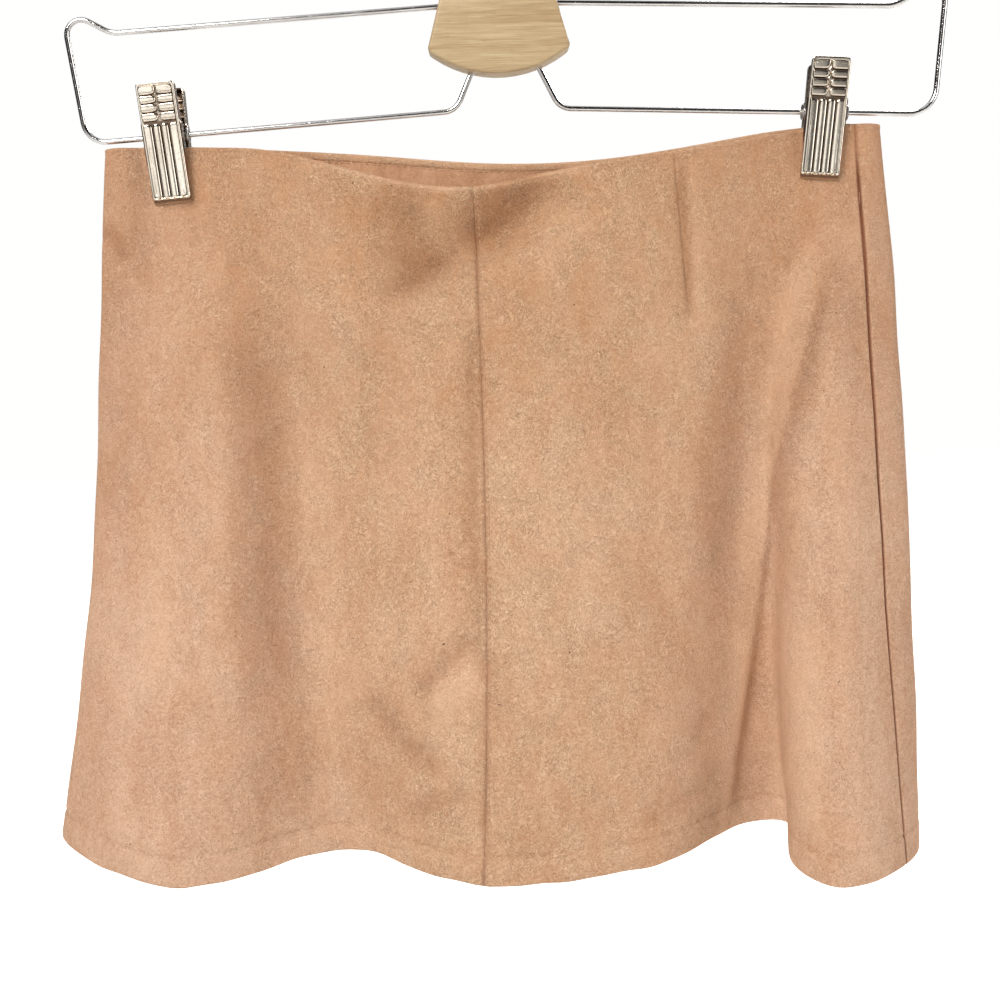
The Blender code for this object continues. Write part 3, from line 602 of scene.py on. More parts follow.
class Sheet:
    """A piece of the skirt's cloth as a grid of places, with its distances from all four edges."""

    def __init__(self, places, front, down=None):
        ends = [middle_surface(places, np.full(places.shape, share))[:, 2] for share in (0.0, 1.0)]
        heights = ends[0] - ends[1]
        self.closed = down is not None
        normals = ring_outward if self.closed else outward_of
        down = down[:, None] / heights if self.closed else rows_down(heights)
        middle = middle_surface(np.tile(places, (len(down), 1)), down)
        x, z = middle[..., 0], middle[..., 2]
        self.firm = 1 - pinched_share(x, z)
        calm = smooth_step(down * heights / CALM_BELOW)
        push = laid_out(CREASES, x, z, front) * self.firm + added_up(UNEVEN, x, z) * self.firm * calm
        self.middle = middle + normals(middle) * push[..., None]
        self.middle[..., 2] += added_up(HEM_UNEVEN, x, z) * smooth_step((down - 1 + HEM_SHARE) / HEM_SHARE)
        self.outward = normals(self.middle)
        self.from_top = steps_along(self.middle, 0)
        self.from_hem = self.from_top[-1] - self.from_top
        self.from_start = steps_along(self.middle, 1)
        self.from_end = self.from_start[:, -1:] - self.from_start
        # Painted tone for the finish: painted shade along the hem's line of stitches, painted light on the hem's
        # swell, painted shade where the creases go in and painted light where they stand out, added to the table
        # of painted shade and painted light.
        hem_line = bell(self.from_hem - HEM_STITCH, 1.3) * (0.12 + 0.1 * np.sin(self.from_start * 0.09))
        hem_roll = bell(self.from_hem - HEM_STITCH + 4.0, 3.0) * 0.1
        self.tone = laid_out(PAINTED_SHADE_AND_LIGHT, x, z, front) + 0.06 * push + hem_roll - hem_line

    def wall(self):
        """How far the outer and the inner face lie from the middle: turned edge, hem and stitch lines."""
        turned = 1 - smooth_step((self.from_top - TURNED_EDGE) / TURNED_RUN_OUT)
        hemmed = 1 - smooth_step((self.from_hem - HEM_DEPTH) / HEM_RUN_OUT)
        thick = CLOTH + TURNING * np.maximum(turned, hemmed)
        middle = HALF - thick / 2
        round_edge = rounded(np.minimum(self.from_top, self.from_hem), thick / 2)
        half = np.maximum(thick / 2 * round_edge, EDGE_HALF)
        top = raised(self.from_top, TOP_ROLL) + raised(self.from_top, TOP_SEWN) * self.firm
        hem_line = bell(self.from_hem - HEM_STITCH, 1.1) * (0.42 + 0.22 * np.sin(self.from_start * 1.15))
        hem_swell = smooth_step((self.from_hem - 0.5) / 3) * (1 - smooth_step((self.from_hem - 13) / 4)) * 0.16
        return middle + half + top + raised(self.from_top, TURNED_END) - hem_line + hem_swell, middle - half

    def build(self, name, outer, inner, finish):
        """A closed shell between the two faces."""
        skins = [(self.middle + self.outward * side[..., None]) * MM for side in (outer, inner)]
        rows, wide = self.middle.shape[:2]
        index = np.arange(rows * wide).reshape(rows, wide)
        shift = rows * wide
        left, right = (index, np.roll(index, -1, axis=1)) if self.closed else (index[:, :-1], index[:, 1:])
        face = np.stack([left[:-1], left[1:], right[1:], right[:-1]], axis=-1).reshape(-1, 4)
        faces = [face, face[:, ::-1] + shift]
        rims = [(left[0], right[0], 1), (left[-1], right[-1], -1)]
        if not self.closed:
            rims += [(index[:-1, 0], index[1:, 0], -1), (index[:-1, -1], index[1:, -1], 1)]
        for near, far, turn in rims:
            faces.append(np.stack([near, far, far + shift, near + shift], axis=-1)[:, ::turn])
        verts = np.concatenate([skin.reshape(-1, 3) for skin in skins])
        piece = cloth_piece(name, verts, np.concatenate(faces).tolist(), finish)
        self.lay_uv(piece.data, rows * wide)
        if not self.closed:
            self.lay_painted_shade(piece.data)
        return piece

    def lay_uv(self, mesh, count):
        """A map in metres of cloth that follows the sheet."""
        flat = np.stack([self.from_start, -self.from_top], axis=-1).reshape(-1, 2) * MM
        corners = np.zeros(len(mesh.loops), dtype=np.int32)
        mesh.loops.foreach_get("vertex_index", corners)
        layer = mesh.uv_layers.new(name="cloth")
        layer.data.foreach_set("uv", flat[corners % count].astype(np.float32).ravel())

    def lay_painted_shade(self, mesh):
        """The painted shade and painted light at each place, and how near a seam is for painted shade along it,
        for the finish to read.
        """
        near = np.minimum(self.from_start, self.from_end)
        centre = np.abs(self.middle[..., 0]) < SIDES_FROM
        seam = np.where(centre, 0.42 * bell(near, 1.7), bell(near, 1.0))
        seam = seam * (0.25 + 0.75 * smooth_step((self.from_top - 8.0) / 22.0))
        # 'brushed' carries painted shade and painted light; 'seam' carries painted shade along the seams, weaker
        # near the top edge.
        for name, values in (("brushed", self.tone), ("seam", seam)):
            mark(mesh, name, np.tile(values.ravel(), 2))


def cloth_piece(name, verts, faces, finish):
    mesh = bpy.data.meshes.new(name)
    mesh.from_pydata(verts.tolist(), [], faces)
    mesh.shade_smooth()
    mesh.materials.append(finish)
    return linked(name, mesh)


def spaced(spots, stitch):
    """(point, normal, tangent) for evenly spaced stitches along a line of (point, normal), in millimetres."""
    points = spots[:, 0]
    length = np.concatenate([[0.0], np.cumsum(np.linalg.norm(np.diff(points, axis=0), axis=1))])
    wanted = np.arange(stitch.first, length[-1] - stitch.last, stitch.spacing)
    take = lambda at, values: np.stack([np.interp(at, length, values[:, k]) for k in range(3)], axis=-1)
    tangent = take(wanted + 0.5, points) - take(wanted - 0.5, points)
    return take(wanted, points), unit(take(wanted, spots[:, 1])), unit(tangent)


# The skirt's pieces

# What each sheet was cut to, seam allowances, hem and turning included: metres and square metres.
Cut = namedtuple("Cut", "width length area")

PIECE_COLUMNS = {
    "front_left": (LEFT_SEAM, CENTRE_SEAM, ()),
    "front_right": (CENTRE_SEAM, RIGHT_SEAM, ((knot("dart"), 7.0),)),
    "back": (RIGHT_SEAM, LEFT_SEAM + 1.0, ()),
}


def dart_fold(panel):
    """A stitched dart: a fine groove that starts at the top edge and ends in a dimple."""
    aside, along = off_line(panel.middle[..., 0], panel.middle[..., 2], DART)
    fade = 1 - smooth_step((along - DART_END) / (1 - DART_END))
    return (raised(aside, DART_RIDGE) + raised(aside, DART_GROOVE)) * fade


def skirt(finish):
    pieces = {}
    for name, (start, end, close_at) in PIECE_COLUMNS.items():
        panel = Sheet(columns_round(start, end, close_at), name != "back")
        outer, inner = panel.wall()
        outer = outer + raised(panel.from_start, CENTRE_FRONT if name == "front_right" else SIDE_SEAM)
        outer = outer + raised(panel.from_end, CENTRE_FRONT if name == "front_left" else SIDE_SEAM)
        if name == "front_left":
            outer = outer + raised(panel.from_end, CENTRE_ROLL)
        if name == "front_right":
            lapped = LAP * smooth_step(panel.from_start / 0.9) * (1 - smooth_step((panel.from_start - 1.9) / 3.0))
            outer = outer + lapped + raised(panel.from_start, CENTRE_SEWN) + dart_fold(panel)
        piece = panel.build(f"skirt_{name}", outer, inner, finish)
        belongs(piece, f"{name}_panel")
        jaws = "back" if name == "back" else "front"
        pieces[name] = (panel, outer)
    return pieces


def waist_facing(finish):
    """The facing: a closed band inside the waist, below the turned edge."""
    places = np.concatenate([columns_round(start, end)[:-1] for start, end, _ in PIECE_COLUMNS.values()])
    down = np.concatenate([grown(0.3, 1.25, 4.0), np.arange(6.0, FACING_DEPTH, GRID)]) + TURNED_EDGE + 2 * CLEAR
    band = Sheet(places, np.mod(places, 1.0) < RIGHT_EDGE, down)
    half = FACING / 2 * np.maximum(rounded(np.minimum(band.from_top, band.from_hem), FACING / 2), 0.08)
    middle = -HALF - CLEAR - FACING / 2
    piece = band.build("skirt_waist_facing", middle + half, middle - half, finish)
    belongs(piece, "waist_facing")


STITCH_RINGS = np.linspace(-1, 1, 5)
STITCH_SIDES = 6
# In radii: how high a stitch stands at its middle, and how deep its ends dip; and how much its ends taper.
STITCH_UP = 0.9
STITCH_DIP = 2.6
STITCH_TAPER = 0.85


def stitches(name, rows, stitch, finish):
    """Short threads that dip into the cloth at both ends, along rows of (point, normal, tangent)."""
    point, normal, tangent = (np.concatenate(part) for part in zip(*rows))
    across = np.cross(normal, tangent)
    turns = np.arange(STITCH_SIDES) * 2 * math.pi / STITCH_SIDES
    verts = []
    for along in STITCH_RINGS:
        lift = stitch.radius * (STITCH_UP - STITCH_DIP * along**2)
        centre = point + tangent * along * stitch.length / 2 + normal * lift
        thick = stitch.radius * math.sqrt(1 - (STITCH_TAPER * along) ** 2)
        for turn in turns:
            verts.append(centre + (across * math.cos(turn) + normal * math.sin(turn)) * thick)
    verts = np.stack(verts, axis=1)
    count = verts.shape[1]
    face = []
    for ring in range(len(STITCH_RINGS) - 1):
        for side in range(STITCH_SIDES):
            a = ring * STITCH_SIDES + side
            b = ring * STITCH_SIDES + (side + 1) % STITCH_SIDES
            face.append([a, a + STITCH_SIDES, b + STITCH_SIDES, b])
    end = count - STITCH_SIDES
    face += [list(range(STITCH_SIDES)), [end + side for side in reversed(range(STITCH_SIDES))]]
    faces = [[i + k * count for i in loop] for k in range(len(point)) for loop in face]
    belongs(cloth_piece(name, verts.reshape(-1, 3) * MM, faces, finish))


def stitch_row(panel, face, wanted, stitch, across=True, inside=False):
    """Places for stitches where the distance from the top, or from the start, comes to what is wanted."""
    grids = [panel.from_top if across else panel.from_start, panel.middle, panel.outward, face]
    if across:
        grids = [grid.swapaxes(0, 1) for grid in grids]
    spots = []
    wanted = np.broadcast_to(wanted, len(grids[0]))
    for at, reach, middle, outward, lift in zip(wanted, *grids):
        take = lambda values: np.interp(at, reach, values)
        normal = np.array([take(part) for part in outward.T])
        point = np.array([take(part) for part in middle.T]) + normal * take(lift)
        spots.append([point, -normal if inside else normal])
    return spaced(np.array(spots), stitch)


def sewing(pieces, thread):
    row = stitch_row(*pieces["front_right"], TOPSTITCH_IN, CENTRE_STITCHES, across=False)
    stitches("centre_topstitch", [row], CENTRE_STITCHES, thread)
    under = -HALF - TURNING - 0.1
    for name, stitch, wanted, inside in (
        ("edge_stitches", EDGE_STITCHES, lambda panel: EDGE_STITCH, False),
        ("hem_stitches", HEM_STITCHES, lambda panel: panel.from_top[-1] - HEM_STITCH, False),
        ("facing_stitches", FACING_STITCHES, lambda panel: FACING_SEWN, True),
    ):
        rows = []
        for panel, outer in pieces.values():
            face = np.full(outer.shape, under) if inside else outer
            rows.append(stitch_row(panel, face, wanted(panel), stitch, inside=inside))
        stitches(name, rows, stitch, thread)


# Shaping by hand


def take_up(*pieces):
    """Selects these pieces alone; the first is the one that is worked on."""
    bpy.ops.object.select_all(action="DESELECT")
    for piece in pieces:
        piece.select_set(True)
    bpy.context.view_layer.objects.active = pieces[0]


@contextmanager
def shaping(piece):
    """Edit mode on one piece alone, with nothing selected."""
    take_up(piece)
    bpy.ops.object.mode_set(mode="EDIT")
    bpy.ops.mesh.select_all(action="DESELECT")
    yield
    bpy.ops.object.mode_set(mode="OBJECT")


def pick(kind, wanted):
    """In edit mode, selects those faces, edges or corners whose middle passes the test, in millimetres."""
    bpy.ops.mesh.select_all(action="DESELECT")
    bpy.ops.mesh.select_mode(type=kind)
    data = bpy.context.edit_object.data
    mesh = bmesh.from_edit_mesh(data)
    for part in {"VERT": mesh.verts, "EDGE": mesh.edges, "FACE": mesh.faces}[kind]:
        corners = [part] if kind == "VERT" else part.verts
        middle = sum((v.co for v in corners), Vector()) / len(corners) / MM
        part.select_set(wanted(part, middle))
    mesh.select_flush_mode()
    bmesh.update_edit_mesh(data)


def named(name):
    """Names the piece that an operator has just made."""
    piece = bpy.context.active_object
    piece.name = name
    piece.data.name = name
    return piece


def placed(name):
    """The same, with its place worked into its mesh."""
    bpy.ops.object.transform_apply()
    return named(name)


def joined(pieces, name):
    take_up(*pieces)
    bpy.ops.object.join()
    return named(name)


def blank(name, low, high):
    """A block of stock between two corners, in millimetres, ready to be cut."""
    low, high = Vector(low), Vector(high)
    bpy.ops.mesh.primitive_cube_add(size=1, location=(low + high) / 2 * MM, scale=(high - low) * MM)
    return placed(name)


def saw(at, normal, away=True):
    """Cuts through everything in edit mode: what lies beyond the plane goes, or only an edge is left."""
    bpy.ops.mesh.select_all(action="SELECT")
    bpy.ops.mesh.bisect(plane_co=Vector(at) * MM, plane_no=normal, use_fill=away, clear_outer=away, threshold=1e-7)


def score(*heights):
    """Level cuts that only leave an edge, ready to be bent or pressed."""
    for up in heights:
        saw((0, 0, up), (0, 0, 1), away=False)


def shift(x=0.0, y=0.0, z=0.0):
    bpy.ops.transform.translate(value=(x * MM, y * MM, z * MM))


def inset(border, use_boundary):
    bpy.ops.mesh.inset(thickness=border * MM, depth=0.0, use_boundary=use_boundary)


def round_edges(width, segments, profile=0.5):
    bpy.ops.mesh.bevel(offset=width * MM, segments=segments, profile=profile)


def worked(piece, name, kind, **settings):
    """Works a modifier with these settings into a piece."""
    modifier = piece.modifiers.new(name, kind)
    for key, value in settings.items():
        setattr(modifier, key, value)
    take_up(piece)
    bpy.ops.object.modifier_apply(modifier=modifier.name)


def ease(piece, width):
    """Rounds a piece's edges all over."""
    settings = {"width": width * MM, "segments": 3, "limit_method": "ANGLE", "angle_limit": math.radians(30)}
    worked(piece, "softened edges", "BEVEL", harden_normals=False, **settings)


def settle(piece, finish, node=None, smooth_under=35.0):
    """Shades a finished piece, gives it its finish, and lets it ride."""
    take_up(piece)
    bpy.ops.object.transform_apply()
    bpy.ops.object.mode_set(mode="EDIT")
    bpy.ops.mesh.select_all(action="SELECT")
    bpy.ops.mesh.remove_doubles(threshold=1e-6)
    bpy.ops.mesh.normals_make_consistent(inside=False)
    bpy.ops.object.mode_set(mode="OBJECT")
    bpy.ops.object.shade_smooth_by_angle(angle=math.radians(smooth_under))
    piece.data.materials.clear()
    piece.data.materials.append(finish)
    belongs(piece, node)


# The hanger

SHARP = math.radians(25)  # edges that turn by more than this are corners


def arc_planes(left, peak, right, count):
    """Cutting planes that round a block's end to an arc through two level points and a peak."""
    half = (right[0] - left[0]) / 2
    rise = peak - left[1]
    radius = (half * half + rise * rise) / (2 * abs(rise))
    centre = peak - math.copysign(radius, rise)
    reach = math.asin(half / radius)
    planes = []
    for turn in np.linspace(-reach, reach, count):
        out = (math.sin(turn), 0.0, math.copysign(math.cos(turn), rise))
        planes.append(((out[0] * radius, 0.0, centre + out[2] * radius), out))
    return planes


def hanger_block(finish):
    (corner_x, corner_z), (shoulder_x, shoulder_z) = BLOCK_CORNER, BLOCK_SHOULDER
    half = BLOCK_THICK / 2
    low = (-corner_x - SPARE, -half, BLOCK_FOOT_Z - 1)
    block = blank("wooden_block", low, (corner_x + SPARE, half, BLOCK_TOP_Z + 1))
    with shaping(block):
        side = Vector((shoulder_z - corner_z, 0.0, corner_x - shoulder_x)).normalized()
        for hand in (-1, 1):
            saw((hand * corner_x, 0, corner_z), (hand * side.x, 0, side.z))
        ends = arc_planes((-corner_x, corner_z), BLOCK_FOOT_Z, (corner_x, corner_z), FOOT_CUTS)
        ends += arc_planes((-shoulder_x, shoulder_z), BLOCK_TOP_Z, (shoulder_x, shoulder_z), SHOULDER_CUTS)
        for at, out in ends:
            saw(at, out)
        through = lambda edge: abs(edge.verts[0].co.y - edge.verts[1].co.y) > half * MM
        pick("EDGE", lambda edge, at: through(edge) and edge.calc_face_angle(0.0) > SHARP)
        round_edges(BLOCK_ROUND, 4)
        pick("EDGE", lambda edge, at: abs(abs(at.y) - half) < 1e-3)
        round_edges(BLOCK_ROUND, 5, 0.55)
    settle(block, finish, "hanger_block", smooth_under=30.0)


WIRE_SIDES = 24
BEND_STEPS = 10
NECK_STEPS = 8
CROWN_STEPS = 40
ALMOST_SQUARE = math.radians(84)  # how far round a dome goes before its end is left flat


def wire_start(name, at, towards, thickness):
    """The round end of a wire, filled, and facing along its first run."""
    bpy.ops.mesh.primitive_circle_add(
        vertices=WIRE_SIDES,
        radius=thickness / 2 * MM,
        fill_type="NGON",
        location=Vector(at) * MM,
        rotation=Vector(towards).to_track_quat("Z", "Y").to_euler(),
    )
    return placed(name)


def take_end():
    bpy.ops.mesh.select_mode(type="FACE")
    bpy.ops.mesh.select_all(action="SELECT")


def draw_out(run):
    """Draws what is selected out along a straight run."""
    bpy.ops.mesh.extrude_region_move(TRANSFORM_OT_translate={"value": Vector(run) * MM})


def turn_end(centre, angle, steps):
    """Bends the wire's selected end round a centre, about Y."""
    bpy.ops.mesh.spin(steps=steps, angle=-angle, center=Vector(centre) * MM, axis=(0, 1, 0), use_auto_merge=False)


def round_off(at, out, radius, steps=4):
    """Domes the wire's selected end."""
    before, size = 0.0, 1.0
    for step in range(1, steps + 1):
        turn = step / steps * ALMOST_SQUARE
        reach = math.sin(turn) * radius
        draw_out(out * (reach - before))
        shrink = math.cos(turn) / size
        bpy.ops.transform.resize(value=(shrink,) * 3, center_override=(at + out * reach) * MM)
        before, size = reach, math.cos(turn)


def wire_loop(name, corners, finish, node):
    """A wire bent through its corners with straight runs between them."""
    points = [Vector((c.x, 0.0, c.z)) for c in corners]
    at = points[0]
    loop = wire_start(name, at, points[1] - points[0], WIRE)
    with shaping(loop):
        take_end()
        for before, here, after, corner in zip(points, points[1:], points[2:], corners[1:]):
            back = (before - here).normalized()
            on = (after - here).normalized()
            half = back.angle(on) / 2
            middle = here + (back + on).normalized() * corner.bend / math.sin(half)
            start = here + back * corner.bend / math.tan(half)
            draw_out(start - at)
            turn = math.pi - 2 * half
            hand = math.copysign(1, back.cross(on).y)
            turn_end(middle, -hand * turn, BEND_STEPS)
            at = here + on * corner.bend / math.tan(half)
        draw_out(points[-1] - at)
    settle(loop, finish, node, smooth_under=40.0)


# The hook's crown runs from where its neck ends to its tip, in degrees from +X.
HOOK_START = -52.0
HOOK_END = 196.0


def hanger_hook(finish):
    """A straight stem, a bend aside, a crown over the hang point, and a domed tip."""
    radius = HOOK_INNER + HOOK_WIRE / 2
    centre = Vector((0.0, 0.0, -HOOK_INNER))
    spoke = lambda turn: centre + radius * Vector((math.cos(turn), 0.0, math.sin(turn)))
    first, last = math.radians(HOOK_START), math.radians(HOOK_END)
    lean = math.radians(90 + HOOK_START)
    neck = spoke(first).x / (1 - math.cos(lean))
    neck_z = spoke(first).z - neck * math.sin(lean)
    foot = Vector((0.0, 0.0, BLOCK_TOP_Z - IN_BLOCK))
    hook = wire_start("hanger_hook_wire", foot, (0, 0, 1), HOOK_WIRE)
    with shaping(hook):
        take_end()
        draw_out((0.0, 0.0, neck_z - foot.z))
        turn_end((neck, 0.0, neck_z), lean, NECK_STEPS)
        turn_end(centre, first - last, CROWN_STEPS)
        round_off(spoke(last), Vector((-math.sin(last), 0.0, math.cos(last))), HOOK_WIRE / 2)
    settle(hook, finish, "hanger_hook", smooth_under=40.0)


FLANGE_RADIUS = 5.6
FLANGE_THICK = 1.0
COLLAR_STEPS = ((4.6, 0.15), (4.2, 0.8), (3.6, 1.2), (3.2, 1.8), (2.6, 0.5), (1.9, 0.1))  # radius, and how far up


def disc(name, radius, thick, z, sides):
    at = (0.0, 0.0, z * MM)
    bpy.ops.mesh.primitive_cylinder_add(vertices=sides, radius=radius * MM, depth=thick * MM, location=at)
    return placed(name)


def hook_collar(finish):
    """A collar turned from a round bar: a flange, a waist and a neck."""
    collar = disc("turned_collar", FLANGE_RADIUS, FLANGE_THICK, BLOCK_TOP_Z + FLANGE_THICK / 2, 48)
    with shaping(collar):
        pick("FACE", lambda face, at: face.normal.z > 0.9)
        size = FLANGE_RADIUS
        height = BLOCK_TOP_Z + FLANGE_THICK
        for radius, up in COLLAR_STEPS:
            draw_out((0.0, 0.0, up))
            height += up
            shrink = radius / size
            bpy.ops.transform.resize(value=(shrink, shrink, 1), center_override=(0, 0, height * MM))
            size = radius
    ease(collar, 0.22)
    settle(collar, finish, "hook_collar")


# The clips

FLUTES = 4
FLUTE_PITCH = 3.8
FLUTE_TOP = 4.9
RIB_EDGES = (5.6, 9.6, 13.5, 17.3, 21.3)  # the grooves between the ribs, from the lowest up
SPINE = 1.05  # how far the ridge between the two columns of ribs stands out of the groove
FLUTE_STAYS = (-26.0, -21.0, -9.5, 2.0)  # cuts across the flutes that keep them straight
EAR = (-15.0, 5.5)  # where the sides bulge round the rail
EAR_OUT = 0.7
EAR_BORDER = 0.7
TOP_CORNER = 1.7
LIP = 3.0
LIP_CHAMFER = 2.5
LIP_CORNER = 0.7
FACE_EDGE = 0.5
COIL_WIRE = 0.9
COIL_RADIUS = 2.4
COIL_TURNS = 12
COIL_PITCH = 1.2
COIL_ARM = 7.0
WASHER_RADIUS = 3.6
WASHER_THICK = 1.0
WASHER_AT = 10.1  # from the middle of the coil
# How a cell of the face is pressed: its border in, then out towards the front, in steps.
SUNK = ((0.15, -0.75), (0.05, 0.0))
FLUTE_STEPS = ((0.08, 0.0), (0.12, 0.75), (0.25, 0.40), (0.4, 0.14), (0.4, 0.09))
RIB_STEPS = ((0.06, 0.0), (0.14, 0.75), (0.3, 0.36), (0.4, 0.12))


def face_out(up):
    """How far a jaw's flat face is from the middle plane, at a height above the rail."""
    return FACE_OUT + (up + JAW_DOWN) * math.tan(math.radians(JAW_TILT))


def flange_out(up):
    """How far the free edge of a jaw's sides is from the middle plane."""
    at_rail = SPRING_RADIUS + CLEAR
    if up <= 0:
        return LIP_OUT + (at_rail - LIP_OUT) * (up + JAW_DOWN) / JAW_DOWN
    return at_rail + face_out(up) - face_out(0)


def press(cells, steps):
    """Presses the cells of a face outwards together: how far their border moves in and out, in steps."""
    pick("FACE", lambda face, at: face.normal.y < -0.5 and cells(at))
    for border, out in steps:
        if border:
            inset(border, True)
        shift(y=-out)


def on_face(at):
    return abs(at.y + face_out(at.z)) < 0.06


def jaw_tray(name):
    """A jaw's open tray about the rail, with a leaning face, round corners and a chamfered lip."""
    edge = JAW_WIDTH / 2
    low, high = -JAW_DOWN, JAW_UP
    near = lambda a, b: abs(a - b) < 0.01
    jaw = blank(name, (-edge, -face_out(low), low), (edge, -flange_out(low), high))
    with shaping(jaw):
        score(0.0)
        for up in (0.0, high):
            for out in (face_out, flange_out):
                pick("VERT", lambda v, at: near(at.z, up) and near(at.y, -out(low)))
                shift(y=out(low) - out(up))
        pick("FACE", lambda face, at: face.normal.y > 0.5)
        bpy.ops.mesh.delete(type="FACE")
        pick("EDGE", lambda e, at: near(abs(at.x), edge) and near(at.z, high))
        round_edges(TOP_CORNER, 4)
        pick("EDGE", lambda e, at: on_face(at) and near(at.z, low))
        round_edges(LIP_CHAMFER, 1)
        pick("EDGE", lambda e, at: near(abs(at.x), edge) and at.z < low + LIP_CHAMFER * 0.6)
        round_edges(LIP_CORNER, 3)
        pick("EDGE", lambda e, at: on_face(at) and e.calc_face_angle(0.0) > SHARP)
        round_edges(FACE_EDGE, 3)
        score(*EAR)
        for hand in (-1, 1):
            beside = lambda at: at.x * hand > edge - 0.01 and at.y + face_out(at.z) > 0.6
            pick("FACE", lambda face, at: beside(at) and EAR[0] < at.z < EAR[1])
            inset(EAR_BORDER, False)
            shift(x=hand * EAR_OUT)
    return jaw


def clip_jaw(name):
    """A pressed jaw: four upright flutes below the rail, two columns of ribs above it, and a rim."""
    foot, rib_top = LIP - JAW_DOWN, RIB_EDGES[-1]
    half = FLUTES * FLUTE_PITCH / 2
    jaw = jaw_tray(name)
    with shaping(jaw):
        score(foot, *FLUTE_STAYS, FLUTE_TOP, *RIB_EDGES)
        for flute in range(FLUTES + 1):
            saw((flute * FLUTE_PITCH - half, 0, 0), (1, 0, 0), away=False)
        press(lambda at: on_face(at) and abs(at.x) < half and foot < at.z < rib_top, SUNK)
        sunk = lambda at: 0.3 < at.y + face_out(at.z) < 1.0
        for flute in range(FLUTES):
            left = flute * FLUTE_PITCH - half
            press(lambda at: sunk(at) and left < at.x < left + FLUTE_PITCH and at.z < FLUTE_TOP, FLUTE_STEPS)
        for under, over in zip(RIB_EDGES, RIB_EDGES[1:]):
            for hand in (-1, 1):
                press(lambda at: sunk(at) and at.x * hand > 0 and under < at.z < over, RIB_STEPS)
        pick("VERT", lambda v, at: sunk(at) and abs(at.x) < 0.02 and RIB_EDGES[0] < at.z < rib_top - 0.5)
        shift(y=-SPINE)
    worked(jaw, "pressed sheet", "SOLIDIFY", thickness=JAW_WALL * MM, offset=-1)
    worked(jaw, "drawn smooth", "SUBSURF", levels=2, render_levels=2)
    paint_groove_shade(jaw)
    return jaw


def paint_groove_shade(jaw):
    """Marks how deep each place lies behind the jaw's face, for the finish to paint shade into the grooves."""
    places = np.empty(len(jaw.data.vertices) * 3, dtype=np.float32)
    jaw.data.vertices.foreach_get("co", places)
    at = places.reshape(-1, 3) / MM
    behind = at[:, 1] + face_out(at[:, 2])
    pressed = np.abs(at[:, 0]) < FLUTES * FLUTE_PITCH / 2 - 0.1
    pressed &= (at[:, 2] > LIP - JAW_DOWN) & (at[:, 2] < RIB_EDGES[-1])
    grooves = smooth_step((behind + np.where(pressed, 0.4, -0.1)) / 0.55)
    grooves *= 1 - 0.6 * smooth_step((behind - 1.3) / 1.0)
    grooves *= 1 - 0.75 * bell(at[:, 0], 0.9) * (at[:, 2] > RIB_EDGES[0])
    mark(jaw.data, "groove", grooves)


def clip_spring(name):
    """A coil round the rail, along Z, with an arm at each end and a washer beyond each ear."""
    bpy.ops.mesh.primitive_circle_add(
        vertices=12,
        radius=COIL_WIRE / 2 * MM,
        location=(COIL_RADIUS * MM, 0.0, -COIL_TURNS * COIL_PITCH / 2 * MM),
        rotation=(math.pi / 2, 0.0, 0.0),
    )
    coil = placed(name)
    turns = {"screw_offset": COIL_PITCH * MM, "iterations": COIL_TURNS, "steps": 20, "render_steps": 20}
    worked(coil, "winding", "SCREW", use_merge_vertices=False, **turns)
    with shaping(coil):
        for hand in (-1, 1):
            pick("EDGE", lambda e, at: e.is_boundary and at.z * hand > 0)
            bpy.ops.mesh.edge_face_add()
            draw_out((0.0, hand * COIL_ARM, hand * 0.2))
    parts = [coil]
    for hand in (-1, 1):
        parts.append(disc(f"{name}_washer", WASHER_RADIUS, WASHER_THICK, hand * WASHER_AT, 40))
        ease(parts[-1], 0.3)
    return joined(parts, name)


def copied(piece, name):
    data = piece.data.copy()
    data.name = name
    return linked(name, data)


def clips(metal, dark):
    jaw = clip_jaw("jaw_pattern")
    spring = clip_spring("spring_pattern")
    for clip in CLIPS:
        at = Matrix.Translation(Vector((clip.x, 0.0, rail_z(clip))) * MM)
        lean = Matrix.Rotation(math.radians(clip.lean), 4, "Y")
        for side, turn in (("front", 0.0), ("back", math.pi)):
            body = copied(jaw, f"{clip.name}_pressed_{side}")
            body.matrix_world = at @ lean @ Matrix.Rotation(turn + math.radians(clip.turn), 4, "Z")
            settle(body, metal, f"{clip.name}_{side}_jaw", smooth_under=50.0)
        inner, outer = clip.rail
        run = Vector((outer.x - inner.x, 0.0, outer.z - inner.z))
        coil = copied(spring, f"{clip.name}_coil")
        coil.matrix_world = at @ run.to_track_quat("Z", "Y").to_matrix().to_4x4()
        settle(coil, dark, f"{clip.name}_spring", smooth_under=40.0)
    for pattern in (jaw, spring):
        bpy.data.objects.remove(pattern)


# Flecks and a loose thread on the cloth

Fleck = namedtuple("Fleck", "x z long wide turn")
FLECKS = table(Fleck, [
    (-68.3, -193.3, 1.0, 0.63, 20),
    (-50.8, -195.2, 0.8, 0.54, -35),
    (-87.0, -276.2, 0.9, 0.63, 60),
    (30.3, -252.3, 1.0, 0.54, 10),
    (79.2, -257.1, 0.9, 0.63, -20),
    (41.3, -273.1, 0.8, 0.54, 40),
    (-45.7, -254.8, 0.7, 0.45, 0),
    (-29.5, -346.4, 1.0, 0.63, -50),
    (-49.5, -378.0, 0.9, 0.54, 15),
    (-34.1, -406.9, 1.5, 0.9, 30),
    (24.0, -411.3, 1.0, 0.63, -10),
    (-9.5, -435.1, 1.8, 0.45, 5),
    (144.8, -427.6, 1.8, 0.36, 50),
    (139.0, -454.4, 0.9, 0.54, -30),
    (-200.1, -411.5, 0.8, 0.54, 70),
    (-186.3, -498.1, 1.0, 0.63, 25),
    (152.0, -259.4, 0.8, 0.54, 0),
    (157.2, -311.0, 0.8, 0.54, 45),
    (146.1, -294.9, 0.7, 0.54, -45),
])
FLECK_DEEP = 0.12


